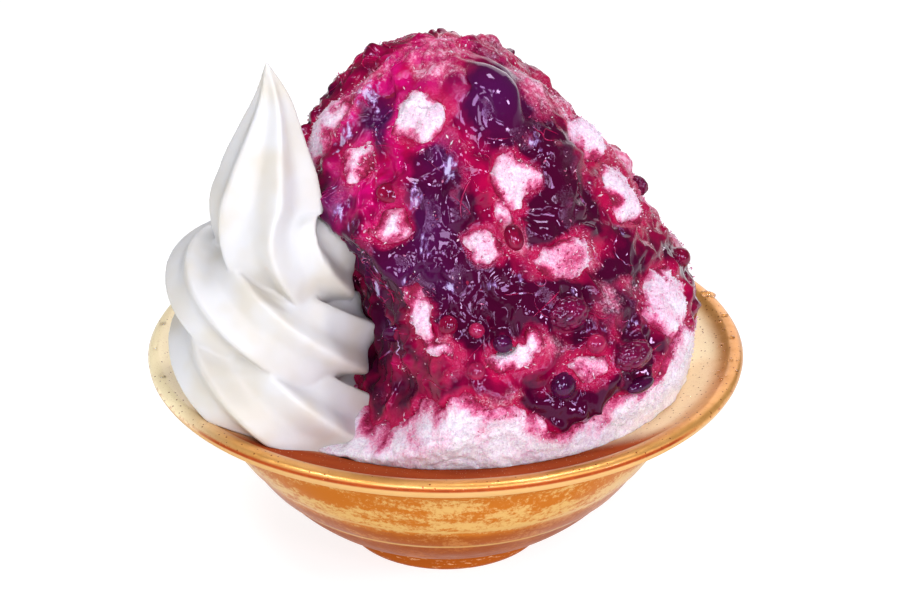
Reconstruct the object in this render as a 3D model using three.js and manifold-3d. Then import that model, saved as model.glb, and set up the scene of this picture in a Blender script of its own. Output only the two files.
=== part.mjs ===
// Shaved ice dessert in a flared bowl: a tall mound of shaved ice under berry sauce, with berries on
// it, and a soft serve swirl standing at its front left. Millimetres, +Z up, front towards -Y, with
// the foot of the bowl on z = 0 and its axis on the Z axis.
import * as THREE from 'three';
import { mergeVertices } from 'three/addons/utils/BufferGeometryUtils.js';
import Module from 'manifold-3d';

// ---- driving dimensions -------------------------------------------------------------------------
const GAP = 0.4; // clearance left between separate pieces
const CUT_TOLERANCE = 0.03; // slivers thinner than this are taken off the cut solids

const BOWL_SEGMENTS = 48;
const FOOT_RADIUS = 31.4;
const RIM_RADIUS = 90;
const RIM_TOP = 63.65;
const FLANGE_START = [66, 55]; // radius, height where the flat flange begins
const FLANGE_END = [84, 62.4];
const WELL_FLOOR = 14; // height of the inside bottom

const SKIN_SEGMENTS = 60; // around the mound's lower rings; its crown has half as many
const RING_STEP = 7.2; // along the mound's profile
const CROWN_RADIUS = 38;
const MOUND_SHIFT = -2.2; // sideways lean of the crown
const SAUCE_DEPTH = 2.0; // usual thickness of the sauce
const SAUCE_EDGE = 0.9; // thickness at the sauce's rim
const ICE_UNDER_SAUCE = -2.4; // ice below the mound's outer surface, where sauce covers it
const ICE_BARE = -0.2; // and where it shows

const SWIRL_AXIS = [-49.5, -29];
const SWIRL_DRIFT = [3.6, -3.2]; // extra offset of the swirl's lowest coil
const SWIRL_RIDGES = 6;
const RIDGE_DEPTH = 0.25; // of the rope's radius
const SWIRL_SIDES = 12;
const HEEL_AT = [-40, -28, 113.5]; // fills the crease behind, where the last coil turns up
const HEEL_SIZE = [6.5, 6, 7.5];
const LEAST_STEP = 0.2; // between neighbouring sections of the rope
const BED_HEIGHT = 53.6; // top of the ice the swirl stands on

// ---- general helpers ----------------------------------------------------------------------------
const wasm = await Module();
wasm.setup();

const rad = (degrees) => (degrees * Math.PI) / 180;
const clamp = (x, low, high) => Math.min(high, Math.max(low, x));
const mix = (a, b, t) => a + (b - a) * t;

// 0 below 0, 1 above 1, with an easy start and end
function ease(x) {
  const t = clamp(x, 0, 1);
  return t * t * (3 - 2 * t);
}

// A smooth curve through knots that never overshoots them
function through(xs, ys) {
  const n = xs.length;
  const h = [];
  const d = [];
  for (let i = 0; i < n - 1; i++) {
    h.push(xs[i + 1] - xs[i]);
    d.push((ys[i + 1] - ys[i]) / h[i]);
  }
  const m = new Array(n).fill(0);
  for (let i = 1; i < n - 1; i++) {
    if (d[i - 1] * d[i] > 0) {
      const w1 = 2 * h[i] + h[i - 1];
      const w2 = h[i] + 2 * h[i - 1];
      m[i] = (w1 + w2) / (w1 / d[i - 1] + w2 / d[i]);
    }
  }
  m[0] = d[0];
  m[n - 1] = d[n - 2];
  return (x) => {
    let i = 0;
    while (i < n - 2 && x > xs[i + 1]) i++;
    const t = clamp((x - xs[i]) / h[i], 0, 1);
    const a = (1 + 2 * t) * (1 - t) * (1 - t);
    const b = t * (1 - t) * (1 - t);
    const c = t * t * (3 - 2 * t);
    const e = t * t * (t - 1);
    return a * ys[i] + b * h[i] * m[i] + c * ys[i + 1] + e * h[i] * m[i + 1];
  };
}

// The same, round a full circle of degrees; knots are [degrees, value] in rising order
function around(knots) {
  const all = [-360, 0, 360].flatMap((turn) => knots.map(([a, v]) => [a + turn, v]));
  const curve = through(all.map((k) => k[0]), all.map((k) => k[1]));
  return (degrees) => curve((((degrees % 360) + 360) % 360));
}

function signedVolume(points, faces) {
  let v = 0;
  for (const [a, b, c] of faces) v += points[a].dot(points[b].clone().cross(points[c])) / 6;
  return v;
}

// A closed solid from points and triangles, turned to face outwards
function solid(points, faces) {
  const out = signedVolume(points, faces) > 0 ? faces : faces.map(([a, b, c]) => [a, c, b]);
  return new wasm.Manifold(
    new wasm.Mesh({
      numProp: 3,
      vertProperties: new Float32Array(points.flatMap((p) => [p.x, p.y, p.z])),
      triVerts: new Uint32Array(out.flat()),
    }),
  );
}

function solidFromGeometry(geometry) {
  const plain = geometry.clone();
  plain.deleteAttribute('normal');
  plain.deleteAttribute('uv');
  const merged = mergeVertices(plain, 1e-4);
  const at = merged.getAttribute('position');
  const points = [];
  for (let i = 0; i < at.count; i++) points.push(new THREE.Vector3().fromBufferAttribute(at, i));
  const faces = [];
  for (let i = 0; i < merged.index.count; i += 3) {
    const f = [0, 1, 2].map((k) => merged.index.getX(i + k));
    if (f[0] !== f[1] && f[1] !== f[2] && f[0] !== f[2]) faces.push(f);
  }
  return solid(points, faces);
}

// Only the largest body of a solid; loose scraps left by a cut are dropped
function largest(whole) {
  const bodies = whole.decompose();
  bodies.sort((a, b) => b.volume() - a.volume());
  return bodies[0].asOriginal().simplify(CUT_TOLERANCE);
}

function meshOf(name, shape, material) {
  const m = shape.getMesh();
  const geometry = new THREE.BufferGeometry();
  geometry.setAttribute('position', new THREE.BufferAttribute(new Float32Array(m.vertProperties), 3));
  geometry.setIndex(new THREE.BufferAttribute(new Uint32Array(m.triVerts), 1));
  geometry.computeVertexNormals();
  const mesh = new THREE.Mesh(geometry, material);
  mesh.name = name;
  return mesh;
}

// A body turned about the Z axis from [radius, height] pairs that start and end on the axis
function turned(profile, segments) {
  const geometry = new THREE.LatheGeometry(
    profile.map(([r, z]) => new THREE.Vector2(r, z)),
    segments,
  );
  geometry.rotateX(Math.PI / 2);
  return geometry;
}

// ---- bowl ---------------------------------------------------------------------------------------
const WELL = [
  [66, 55],
  [63.2, 51.4],
  [59.6, 43],
  [52.4, 32.6],
  [41, 23.5],
  [27, 17.2],
  [0, WELL_FLOOR],
];

function bowlProfile() {
  const foot = [
    [0, 0],
    [FOOT_RADIUS - 0.8, 0],
    [FOOT_RADIUS, 0.8],
    [32.3, 5.6],
    [34.2, 7.4],
  ];
  const body = [
    [42.4, 11],
    [50.1, 17],
    [56.1, 23.4],
    [57.3, 24.2], // lower turned step
    [62.9, 32.4],
    [64.2, 33.3], // upper turned step
    [69.6, 42],
    [72.4, 48.6],
    [78.6, 53.4],
    [86.4, 57.9],
  ];
  const lip = [
    [89.3, 60],
    [RIM_RADIUS, 61.8],
    [89.2, 63.1],
    [87.2, RIM_TOP],
    [85.4, 63.2],
    FLANGE_END,
  ];
  return [...foot, ...body, ...lip, ...WELL];
}

// ---- outer surface of the mound -----------------------------------------------------------------
// Radius and height down the mound's side, from the flange of the bowl up to the crown
const MOUND_SIDE = [
  [70, 56.7],
  [73, 60],
  [75.2, 64],
  [76.2, 69.5],
  [76.2, 76],
  [75, 82.5],
  [72.6, 88],
  [69, 93.5],
  [65.4, 98.5],
  [62.4, 103.5],
  [59.2, 108.5],
  [56.8, 113],
  [53.6, 118],
  [49.2, 123],
  [45.4, 128.5],
  [41.6, 134],
  [37, 139.5],
  [31.6, 144.6],
  [25.4, 149.4],
  [18.8, 153.6],
  [12, 157],
  [6, 159],
  [0, 159.6],
];
const sideLengths = [0];
for (let i = 1; i < MOUND_SIDE.length; i++) {
  const [r0, z0] = MOUND_SIDE[i - 1];
  const [r1, z1] = MOUND_SIDE[i];
  sideLengths.push(sideLengths[i - 1] + Math.hypot(r1 - r0, z1 - z0));
}
const SIDE = sideLengths[sideLengths.length - 1];
const sideRadius = through(sideLengths, MOUND_SIDE.map((p) => p[0]));
const sideHeight = through(sideLengths, MOUND_SIDE.map((p) => p[1]));

// How far out the mound stands by direction: 0 is the front, 90 the right, 180 the back
const breadth = around([
  [0, 0.95],
  [45, 1],
  [90, 1],
  [135, 0.97],
  [180, 0.93],
  [225, 0.92],
  [270, 0.9],
  [315, 0.92],
]);

// The side cut back for the swirl: how far the flat side is from the axis, by height. It faces
// between the front and the left, and the ice runs on below it as a low ledge.
const NOOK_FACING = -62;
const NOOK_BLEND = 6;
const nookReach = through(
  [56, 58, 62, 68, 75, 90, 100, 110, 118, 126, 134],
  [82, 56, 46, 38, 33.5, 33.5, 36, 39, 44, 52, 60],
);

function nooked(radius, azimuth, height) {
  const facing = Math.cos(rad(azimuth - NOOK_FACING));
  if (facing <= 0.05) return radius;
  const flat = nookReach(clamp(height, 56, 134)) / facing;
  const h = clamp(0.5 + (radius - flat) / (2 * NOOK_BLEND), 0, 1);
  return mix(radius, flat, h) - NOOK_BLEND * h * (1 - h);
}

// Soft lumps: waves round, start angle, waves up, start, height in mm
const LUMPS = [
  [3, 0.7, 0.055, 1.1, 0.9],
  [5, 2.1, 0.075, 0.4, 1],
  [8, 4, 0.11, 2.2, 0.9],
  [11, 0.3, 0.16, 3.5, 0.8],
  [15, 1.7, 0.21, 5.1, 0.6],
  [19, 3.3, 0.27, 0.9, 0.5],
];

function lumps(azimuth, along) {
  let height = 0;
  for (const [k, start, q, w, size] of LUMPS) {
    const bend = 0.6 * Math.sin(q * along * 0.7 + w);
    height += size * Math.sin(k * rad(azimuth) + start + bend) * Math.sin(q * along + w);
  }
  return height * clamp((SIDE - along) / 22, 0, 1) * clamp(along / 12, 0.25, 1);
}

function moundPoint(azimuth, along) {
  const e = 0.05;
  const low = Math.max(0, along - e);
  const high = Math.min(SIDE, along + e);
  const dr = sideRadius(high) - sideRadius(low);
  const dz = sideHeight(high) - sideHeight(low);
  const n = Math.hypot(dr, dz);
  const spread = 1 + (breadth(azimuth) - 1) * clamp((SIDE - along) / 60, 0, 1);
  const bump = lumps(azimuth, along);
  const z = sideHeight(along) - (dr / n) * bump;
  const r = nooked(sideRadius(along) * spread, azimuth, sideHeight(along)) + (dz / n) * bump;
  const shift = MOUND_SHIFT * clamp((z - 85) / 45, 0, 1);
  const a = rad(azimuth);
  return new THREE.Vector3(shift + r * Math.sin(a), -r * Math.cos(a), z);
}

// A point `out` mm off the mound's outer surface, and the direction that leaves the surface there
function onMound(azimuth, along, out = 0) {
  const point = moundPoint(azimuth, along);
  const normal = new THREE.Vector3(0, 0, 1);
  if (along < SIDE - 0.5) {
    const e = 0.5;
    const across = moundPoint(azimuth + e, along).sub(moundPoint(azimuth - e, along));
    const upward = moundPoint(azimuth, along + e).sub(moundPoint(azimuth, Math.max(0, along - e)));
    normal.copy(across.cross(upward).normalize());
  }
  return { point: point.addScaledVector(normal, out), normal };
}

// ---- where the sauce lies -----------------------------------------------------------------------
// Lower edge of the sauce: direction, and length up the side at which the sauce begins
const sauceEdge = around([
  [0.5, 24.7],
  [4.2, 26.6],
  [8.5, 24],
  [16, 22],
  [20, 17],
  [25, 13.5],
  [31, 12],
  [36, 14.5],
  [41, 18.5],
  [47, 18.5],
  [52, 20],
  [58, 25],
  [67, 26],
  [76, 21],
  [88, 16],
  [98, 14],
  [108, 20],
  [118, 24],
  [128, 17],
  [138, 12],
  [148, 19],
  [158, 25],
  [170, 20],
  [180, 13],
  [190, 15],
  [202, 24],
  [215, 22],
  [226, 14],
  [238, 16],
  [252, 24],
  [265, 22],
  [278, 17],
  [300, 14],
  [320, 10],
  [342, 8.6],
  [346.5, 9.5],
  [349.5, 13],
  [352, 18],
  [356, 21],
  [358.2, 20.6],
]);

// Bare ice within the sauce: direction, length up the side, half width, half height
const BARE = [
  [-11, 108, 7.4, 8],
  [-66, 93, 5.5, 14],
  [-36, 90, 4.6, 5.6],
  [-16, 75, 5, 4.4],
  [31, 87, 6.5, 6.2],
  [14, 69.5, 5.4, 5],
  [38, 60.5, 9.8, 4.4],
  [-6.5, 48, 3.6, 8.5],
  [16, 36, 5.6, 4],
  [33, 31, 6, 4.4],
  [82, 86, 6.5, 7.5],
  [76, 68, 9, 8],
  [66, 36, 13, 9],
  [112, 55, 9, 8],
  [128, 92, 7, 8],
  [146, 40, 9, 6],
  [160, 74, 9, 8],
  [186, 102, 7, 7],
  [192, 48, 10, 7],
  [212, 78, 8, 9],
  [232, 44, 8, 8],
  [246, 96, 6, 8],
  [262, 62, 8, 9],
];

// Millimetres inside the sauce, negative where the ice is bare
function sauceInside(azimuth, along) {
  let inside = along - sauceEdge(azimuth);
  for (const [a, s, w, h] of BARE) {
    const turn = ((((azimuth - a) % 360) + 540) % 360) - 180;
    const across = rad(turn) * sideRadius(along);
    const away = (Math.hypot(across / w, (along - s) / h) - 1) * Math.min(w, h);
    inside = Math.min(inside, away);
  }
  return inside;
}

// Thicker places of the sauce: direction, length up, half width, half height, extra mm
const THICK = [
  [28, 18, 9, 6, 1.5],
  [-14, 16, 5, 7, 0.8],
  [50, 92, 12, 10, 1],
  [5, 88, 8, 14, 0.8],
  [0, 60, 14, 7, 0.8],
  [30, 124, 12, 8, 0.6],
];

function sauceThickness(azimuth, along, inside) {
  let thick = SAUCE_DEPTH + 0.45 * Math.sin(rad(azimuth) * 13 + along * 0.31) * Math.sin(along * 0.43);
  for (const [a, s, w, h, extra] of THICK) {
    const turn = ((((azimuth - a) % 360) + 540) % 360) - 180;
    const away = Math.hypot((rad(turn) * sideRadius(along)) / w, (along - s) / h);
    thick += extra * Math.exp(-away * away);
  }
  return mix(SAUCE_EDGE, thick, ease(inside / 4));
}

const iceOffset = (inside) => mix(ICE_UNDER_SAUCE, ICE_BARE, ease((1 - inside) / 5));

// Clearance under the sauce, wider on the crown, where the skin's faces turn towards each other
const sauceGap = (along) => GAP + 0.25 * ease((along - SIDE + 24) / 12);

// ---- skin mesh of the mound ---------------------------------------------------------------------
function strip(lower, upper) {
  const faces = [];
  const n = upper.length;
  if (lower.length === n) {
    for (let j = 0; j < n; j++) {
      const k = (j + 1) % n;
      if (j % 2) faces.push([lower[j], lower[k], upper[k]], [lower[j], upper[k], upper[j]]);
      else faces.push([lower[j], lower[k], upper[j]], [lower[k], upper[k], upper[j]]);
    }
    return faces;
  }
  for (let j = 0; j < n; j++) {
    const a = lower[2 * j];
    const b = lower[2 * j + 1];
    const c = lower[(2 * j + 2) % lower.length];
    const k = (j + 1) % n;
    faces.push([a, b, upper[j]], [b, c, upper[k]], [b, upper[k], upper[j]]);
  }
  return faces;
}

function moundSkin() {
  const places = [];
  const faces = [];
  const rings = [];
  const count = Math.round(SIDE / RING_STEP);
  let segments = SKIN_SEGMENTS;
  for (let i = 0; i < count; i++) {
    const along = (SIDE * i) / count;
    if (sideRadius(along) < CROWN_RADIUS) segments = SKIN_SEGMENTS / 2;
    const ring = [];
    for (let j = 0; j < segments; j++) {
      ring.push(places.length);
      places.push({ azimuth: (360 * j) / segments, along });
    }
    if (i) faces.push(...strip(rings[i - 1], ring));
    rings.push(ring);
  }
  const top = places.length;
  places.push({ azimuth: 0, along: SIDE });
  const last = rings[rings.length - 1];
  last.forEach((p, j) => faces.push([p, last[(j + 1) % last.length], top]));
  for (const place of places) {
    place.inside = sauceInside(place.azimuth, place.along);
    place.ice = iceOffset(place.inside);
    place.thick = sauceThickness(place.azimuth, place.along, place.inside);
  }
  return { places, faces, rings };
}

// The solid below the skin: the skin itself and, under it, rings that follow the inside of the bowl
function underSkin(skin, offsetOf, wellGap) {
  const points = skin.places.map((p) => onMound(p.azimuth, p.along, offsetOf(p)).point);
  const faces = [...skin.faces];
  let above = skin.rings[0];
  for (const [r, z] of WELL.slice(0, -1)) {
    const ring = above.map((p, j) => {
      const a = rad((360 * j) / above.length);
      points.push(new THREE.Vector3((r - wellGap) * Math.sin(a), -(r - wellGap) * Math.cos(a), z + wellGap));
      return points.length - 1;
    });
    faces.push(...strip(ring, above));
    above = ring;
  }
  points.push(new THREE.Vector3(0, 0, WELL_FLOOR + wellGap));
  above.forEach((p, j) => faces.push([above[(j + 1) % above.length], p, points.length - 1]));
  return solid(points, faces);
}

// The sauce: the part of the skin where sauce lies, as a sheet with an outer and an inner face
function sauceSheet(skin) {
  const nodes = [];
  const faces = [];
  const own = new Map();
  const cut = new Map();
  const whole = skin.places.map((p) => {
    const inner = onMound(p.azimuth, p.along, p.ice + sauceGap(p.along));
    const outer = inner.point.clone().addScaledVector(inner.normal, p.thick);
    return { inner: inner.point, normal: inner.normal, outer };
  });
  const take = (i) => {
    if (!own.has(i)) {
      own.set(i, nodes.length);
      nodes.push({ inner: whole[i].inner, outer: whole[i].outer });
    }
    return own.get(i);
  };
  const edge = (i, j) => {
    const key = i < j ? `${i}/${j}` : `${j}/${i}`;
    if (!cut.has(key)) {
      const fi = skin.places[i].inside;
      const fj = skin.places[j].inside;
      const t = clamp(fi / (fi - fj), 0.12, 0.88);
      const inner = whole[i].inner.clone().lerp(whole[j].inner, t);
      const normal = whole[i].normal.clone().lerp(whole[j].normal, t).normalize();
      cut.set(key, nodes.length);
      nodes.push({ inner, outer: inner.clone().addScaledVector(normal, SAUCE_EDGE) });
    }
    return cut.get(key);
  };
  for (const face of skin.faces) {
    const loop = [];
    face.forEach((i, k) => {
      const j = face[(k + 1) % 3];
      const a = skin.places[i].inside > 0;
      const b = skin.places[j].inside > 0;
      if (a) loop.push(take(i));
      if (a !== b) loop.push(edge(i, j));
    });
    for (let k = 2; k < loop.length; k++) faces.push([loop[0], loop[k - 1], loop[k]]);
  }
  const n = nodes.length;
  const points = [...nodes.map((v) => v.outer), ...nodes.map((v) => v.inner)];
  const sides = new Set(faces.flatMap(([a, b, c]) => [`${a}/${b}`, `${b}/${c}`, `${c}/${a}`]));
  const all = [...faces, ...faces.map(([a, b, c]) => [a + n, c + n, b + n])];
  for (const side of sides) {
    const [a, b] = side.split('/').map(Number);
    if (!sides.has(`${b}/${a}`)) all.push([b, a, a + n], [b, a + n, b + n]);
  }
  return solid(points, all);
}

// ---- soft serve ---------------------------------------------------------------------------------
// The rope up the swirl: turn, coil radius, rope radius, height, tilt of the coil
const ROPE = [
  [-0.9, 12, 9, 40, 0.35],
  [-0.6, 13, 13, 48, 0.35],
  [-0.25, 14, 15, 59, 0.38],
  [0, 17.5, 15.8, 65.4, 0.38],
  [0.25, 18.5, 15, 72.5, 0.34],
  [0.5, 16, 14.5, 79, 0.34],
  [0.75, 16, 14.5, 85, 0.38],
  [1, 16.5, 14.5, 89, 0.38],
  [1.25, 17, 14, 93, 0.32],
  [1.5, 13, 13.5, 98, 0.25],
  [1.75, 13, 13.5, 104, 0.25],
  [1.88, 9.5, 15, 107, 0.18],
  [2, 6, 16.8, 113, 0.1],
  [2.1, 4, 17, 121, 0],
  [2.2, 2.8, 14.4, 131, 0],
  [2.3, 1.7, 9.8, 142, 0],
  [2.4, 0.8, 5.2, 153, 0],
  [2.5, 0, 0.4, 163.2, 0],
];
const ropeTurns = ROPE.map((k) => k[0]);
const [coilRadius, ropeRadius, ropeHeight, coilTilt] = [1, 2, 3, 4].map((i) =>
  through(ropeTurns, ROPE.map((k) => k[i])),
);
const tipShift = through([1.9, 2.05, 2.2, 2.35, 2.5], [0, 0.6, 2.4, 2.2, 0.1]);
const ridgePhase = through([-0.9, 1.6, 2.05, 2.5], [-20, -20, 15, 22]);

function ropeCentre(turn) {
  const a = -Math.PI / 2 - 2 * Math.PI * turn;
  const low = clamp(1 - turn, 0, 1);
  const r = coilRadius(turn);
  return new THREE.Vector3(
    SWIRL_AXIS[0] + SWIRL_DRIFT[0] * low + tipShift(turn) + r * Math.cos(a),
    SWIRL_AXIS[1] + SWIRL_DRIFT[1] * low + r * Math.sin(a),
    ropeHeight(turn) - coilTilt(turn) * r * Math.cos(a),
  );
}

// Six sharp ridges with rounded valleys between them
function ridged(angle) {
  const u = Math.abs(((((angle * SWIRL_RIDGES) / (2 * Math.PI) + 0.5) % 1) + 1) % 1 - 0.5) * 2;
  return 1 - RIDGE_DEPTH * Math.sin((u * Math.PI) / 2);
}

function ropeSection(turn) {
  const e = 0.004;
  const centre = ropeCentre(turn);
  const ahead = ropeCentre(Math.min(2.5, turn + e)).sub(ropeCentre(turn - e)).normalize();
  const a = -Math.PI / 2 - 2 * Math.PI * turn;
  const out = new THREE.Vector3(Math.cos(a), Math.sin(a), 0);
  out.addScaledVector(ahead, -out.dot(ahead)).normalize();
  const side = ahead.clone().cross(out);
  const rise = (ropeHeight(turn + e) - ropeHeight(turn - e)) / (4 * Math.PI * e);
  const r = Math.max(coilRadius(turn), 0.05);
  const inward = -0.94 * ((r * r + rise * rise) / r);
  const start = 2 * Math.PI * turn + rad(ridgePhase(turn));
  const ring = [];
  for (let k = 0; k < SWIRL_SIDES; k++) {
    const angle = start + (2 * Math.PI * k) / SWIRL_SIDES;
    const reach = ropeRadius(turn) * ridged(angle - start);
    const x = Math.max(inward, reach * Math.cos(angle));
    ring.push(centre.clone().addScaledVector(out, x).addScaledVector(side, reach * Math.sin(angle)));
  }
  return { centre, ring, ahead };
}

function ropeSections() {
  const turns = [];
  for (let i = 0; i <= 60; i++) turns.push(-0.9 + (2.8 * i) / 60);
  for (let i = 1; i <= 11; i++) turns.push(1.9 + (0.6 * i) / 11);
  const sections = turns.map(ropeSection);
  // On the inside of a tight bend a section never falls back behind the one before it
  for (let i = 1; i < sections.length; i++) {
    const before = sections[i - 1];
    const ahead = before.ahead.clone().add(sections[i].ahead).normalize();
    sections[i].ring.forEach((p, k) => {
      const step = p.clone().sub(before.ring[k]).dot(ahead);
      if (step < LEAST_STEP) p.addScaledVector(ahead, LEAST_STEP - step);
    });
  }
  return sections;
}

function ropeSlab(from, to) {
  const n = SWIRL_SIDES;
  const points = [...from.ring, ...to.ring, from.centre, to.centre];
  const faces = [];
  for (let k = 0; k < n; k++) {
    const m = (k + 1) % n;
    faces.push([k, m, n + k], [m, n + m, n + k], [m, k, 2 * n], [n + k, n + m, 2 * n + 1]);
  }
  return solid(points, faces);
}

function softServe(sections) {
  const core = [
    [0, 42],
    [9, 42],
    [9.5, 100],
    [7, 114],
    [2, 146],
    [0, 150],
  ];
  const axis = turned(core, 10);
  axis.translate(SWIRL_AXIS[0] + 0.6, SWIRL_AXIS[1] - 0.4, 0);
  let body = solidFromGeometry(axis);
  for (let i = 1; i < sections.length; i++) body = body.add(ropeSlab(sections[i - 1], sections[i]));
  const heel = new THREE.IcosahedronGeometry(1, 1).scale(...HEEL_SIZE).translate(...HEEL_AT);
  body = body.add(solidFromGeometry(heel));
  const [r0, z0] = FLANGE_START;
  const [r1, z1] = FLANGE_END;
  const bed = BED_HEIGHT + GAP;
  const room = turned(
    [
      [0, bed],
      [r0 - 3, bed],
      [r0, z0 + GAP],
      [r1, z1 + GAP],
      [RIM_RADIUS, RIM_TOP + 6],
      [RIM_RADIUS, 175],
      [0, 175],
    ],
    BOWL_SEGMENTS,
  );
  return largest(body.intersect(solidFromGeometry(room)));
}

// A smooth hollow that the swirl stands in, one gap wider than its ridges reach
function swirlHollow(sections) {
  const levels = [BED_HEIGHT];
  for (let z = 59; z < 166; z += 5.4) levels.push(z);
  const n = 30;
  const [cx, cy] = SWIRL_AXIS;
  const reach = levels.map(() => new Array(n).fill(0));
  const note = (p) => {
    const turn = ((Math.atan2(p.y - cy, p.x - cx) / (2 * Math.PI)) * n + 2 * n) % n;
    const r = Math.hypot(p.x - cx, p.y - cy);
    const level = p.z <= levels[1] ? (p.z - levels[0]) / (levels[1] - levels[0]) : 1 + (p.z - levels[1]) / 5.4;
    for (const j of [Math.floor(turn), Math.ceil(turn) % n]) {
      for (const i of [Math.floor(level), Math.ceil(level)]) {
        if (i >= 0 && i < levels.length) reach[i][j] = Math.max(reach[i][j], r);
      }
    }
  };
  for (let i = 1; i < sections.length; i++) {
    const [a, b] = [sections[i - 1].ring, sections[i].ring];
    for (let k = 0; k < SWIRL_SIDES; k++) {
      const c = a[(k + 1) % SWIRL_SIDES];
      const d = b[(k + 1) % SWIRL_SIDES];
      for (let u = 0; u <= 1; u += 0.25) {
        for (let v = 0; v <= 1; v += 0.25) {
          note(a[k].clone().lerp(b[k], u).lerp(c.clone().lerp(d, u), v));
        }
      }
    }
  }
  const points = [];
  const faces = [];
  const rings = levels.map((z, i) =>
    reach[i].map((r, j) => {
      const low = Math.max(...[-1, 0, 1].map((d) => reach[Math.max(0, i + d)]?.[j] ?? 0));
      const used = i < 3 ? low : Math.max(r, 0.3);
      const a = (2 * Math.PI * j) / n;
      const out = (used + GAP) / Math.cos(Math.PI / n);
      points.push(new THREE.Vector3(cx + out * Math.cos(a), cy + out * Math.sin(a), z));
      return points.length - 1;
    }),
  );
  for (let i = 1; i < rings.length; i++) faces.push(...strip(rings[i - 1], rings[i]));
  points.push(new THREE.Vector3(cx, cy, levels[0]), new THREE.Vector3(cx, cy, 170));
  const [foot, tip] = [points.length - 2, points.length - 1];
  rings[0].forEach((p, j) => faces.push([rings[0][(j + 1) % n], p, foot]));
  const top = rings[rings.length - 1];
  top.forEach((p, j) => faces.push([p, top[(j + 1) % n], tip]));
  return solid(points, faces);
}

// ---- berries ------------------------------------------------------------------------------------
// Name, direction, length up the side, half width, half height, half depth, lift, grain of drupelets
const BERRIES = [
  ['dark_berry_top', 36, 113, 10, 9, 5.2, 0.4, 0],
  ['dark_berry_front', 27, 26.9, 4.1, 4.1, 4, 0.4, 0],
  ['dark_berry_mid', 14.4, 41, 2.9, 2.7, 2.6, 0.4, 0],
  ['dark_berry_left', -16, 34, 3.5, 4.1, 2.8, 0.3, 0],
  ['red_berry_mid', 1, 46.6, 3, 3, 2.8, 0.3, 0],
  ['red_berry_left', -18, 83, 3.9, 3.6, 2.4, 0.2, 0],
  ['red_berry_drop', 24, 70.5, 2.8, 4, 2.5, 0.2, 0],
  ['red_berry_right', 88, 38, 3.2, 3.2, 3, 0.5, 0],
  ['pink_berry_right', 36.5, 36.4, 3.3, 2.9, 2.6, 0.3, 0],
  ['pink_berry_mid', 8.6, 45.2, 2.3, 2.3, 2.3, 0.4, 0],
  ['pink_berry_low', 7, 33.5, 2.6, 2.6, 2.4, 0.4, 0],
  ['berry_cluster_mid', 32, 46.6, 5.8, 4.5, 3.6, 0.2, 0.7],
  ['berry_cluster_right', 45, 29.6, 6.7, 4, 3.8, 0.2, 0.7],
  ['berry_piece_top', 96, 60.8, 2.8, 3.2, 2.8, 0.6, 0],
  ['berry_piece_low', 45.5, 21, 5.3, 2.2, 2.6, 0.4, 0],
];

function berry([, azimuth, along, wide, tall, deep, lift, grain], ground) {
  const { point, normal } = onMound(azimuth, along, 0);
  const geometry = new THREE.IcosahedronGeometry(1, grain > 0 || wide > 8 ? 2 : 1);
  const at = geometry.getAttribute('position');
  const across = new THREE.Vector3(Math.cos(rad(azimuth)), Math.sin(rad(azimuth)), 0);
  const upward = normal.clone().cross(across);
  const middle = point.clone().addScaledVector(normal, lift);
  for (let i = 0; i < at.count; i++) {
    const v = new THREE.Vector3().fromBufferAttribute(at, i).normalize();
    const drupes = Math.sin(v.x * 7.5 + 0.6) * Math.sin(v.y * 7 + 1.1) * Math.sin(v.z * 7.2 + 2);
    v.multiplyScalar(1 + (grain * drupes) / deep);
    const p = middle.clone().addScaledVector(across, v.x * wide);
    p.addScaledVector(upward, v.y * tall).addScaledVector(normal, v.z * deep);
    at.setXYZ(i, p.x, p.y, p.z);
  }
  return largest(solidFromGeometry(geometry).subtract(ground));
}

// ---- assembly -----------------------------------------------------------------------------------
const finish = (name, color, roughness, metalness = 0) =>
  new THREE.MeshStandardMaterial({ name, color, roughness, metalness });

const skin = moundSkin();
const sections = ropeSections();
const hollow = swirlHollow(sections);
const ice = largest(underSkin(skin, (p) => p.ice, GAP).subtract(hollow));
const clearOfIce = underSkin(skin, (p) => p.ice + GAP / 2, 0);
const sauce = largest(sauceSheet(skin).subtract(hollow).subtract(clearOfIce).subtract(ice));
const sauceTop = (p) => p.ice + sauceGap(p.along) + Math.max(p.thick, SAUCE_EDGE);
const ground = underSkin(skin, (p) => sauceTop(p) + GAP, 0);

const group = new THREE.Group();
group.name = 'shaved_ice_dessert';
group.add(
  meshOf('bowl', solidFromGeometry(turned(bowlProfile(), BOWL_SEGMENTS)), finish('gold_glaze', 0xc98a3c, 0.3)),
  meshOf('shaved_ice', ice, finish('shaved_ice', 0xf4eaf2, 0.8)),
  meshOf('soft_serve', softServe(sections), finish('soft_serve', 0xfbfaf6, 0.45)),
  meshOf('berry_sauce', sauce, finish('berry_sauce', 0x7a0f3c, 0.12)),
);
for (const row of BERRIES) {
  const tone = { dark: 0x3a0d35, red_: 0xa01232, pink: 0xd06a8c, berr: 0x5c0c30 }[row[0].slice(0, 4)];
  group.add(meshOf(row[0], berry(row, ground), finish(row[0], tone, 0.15)));
}

export default group;
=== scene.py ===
"""Shaved ice dessert in a gold-glazed bowl: a heap of shaved ice under berry sauce, with berries on it
and a soft serve swirl at its front left. Shapes are worked out in millimetres, with +Z up and the
front towards -Y. A place on the heap has a direction in degrees, where 0 is the front, 90 the right
and 180 the back, and a length up the heap's side, measured along it from its foot.
"""

import logging
import math
from dataclasses import dataclass, field
from enum import Enum

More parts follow.
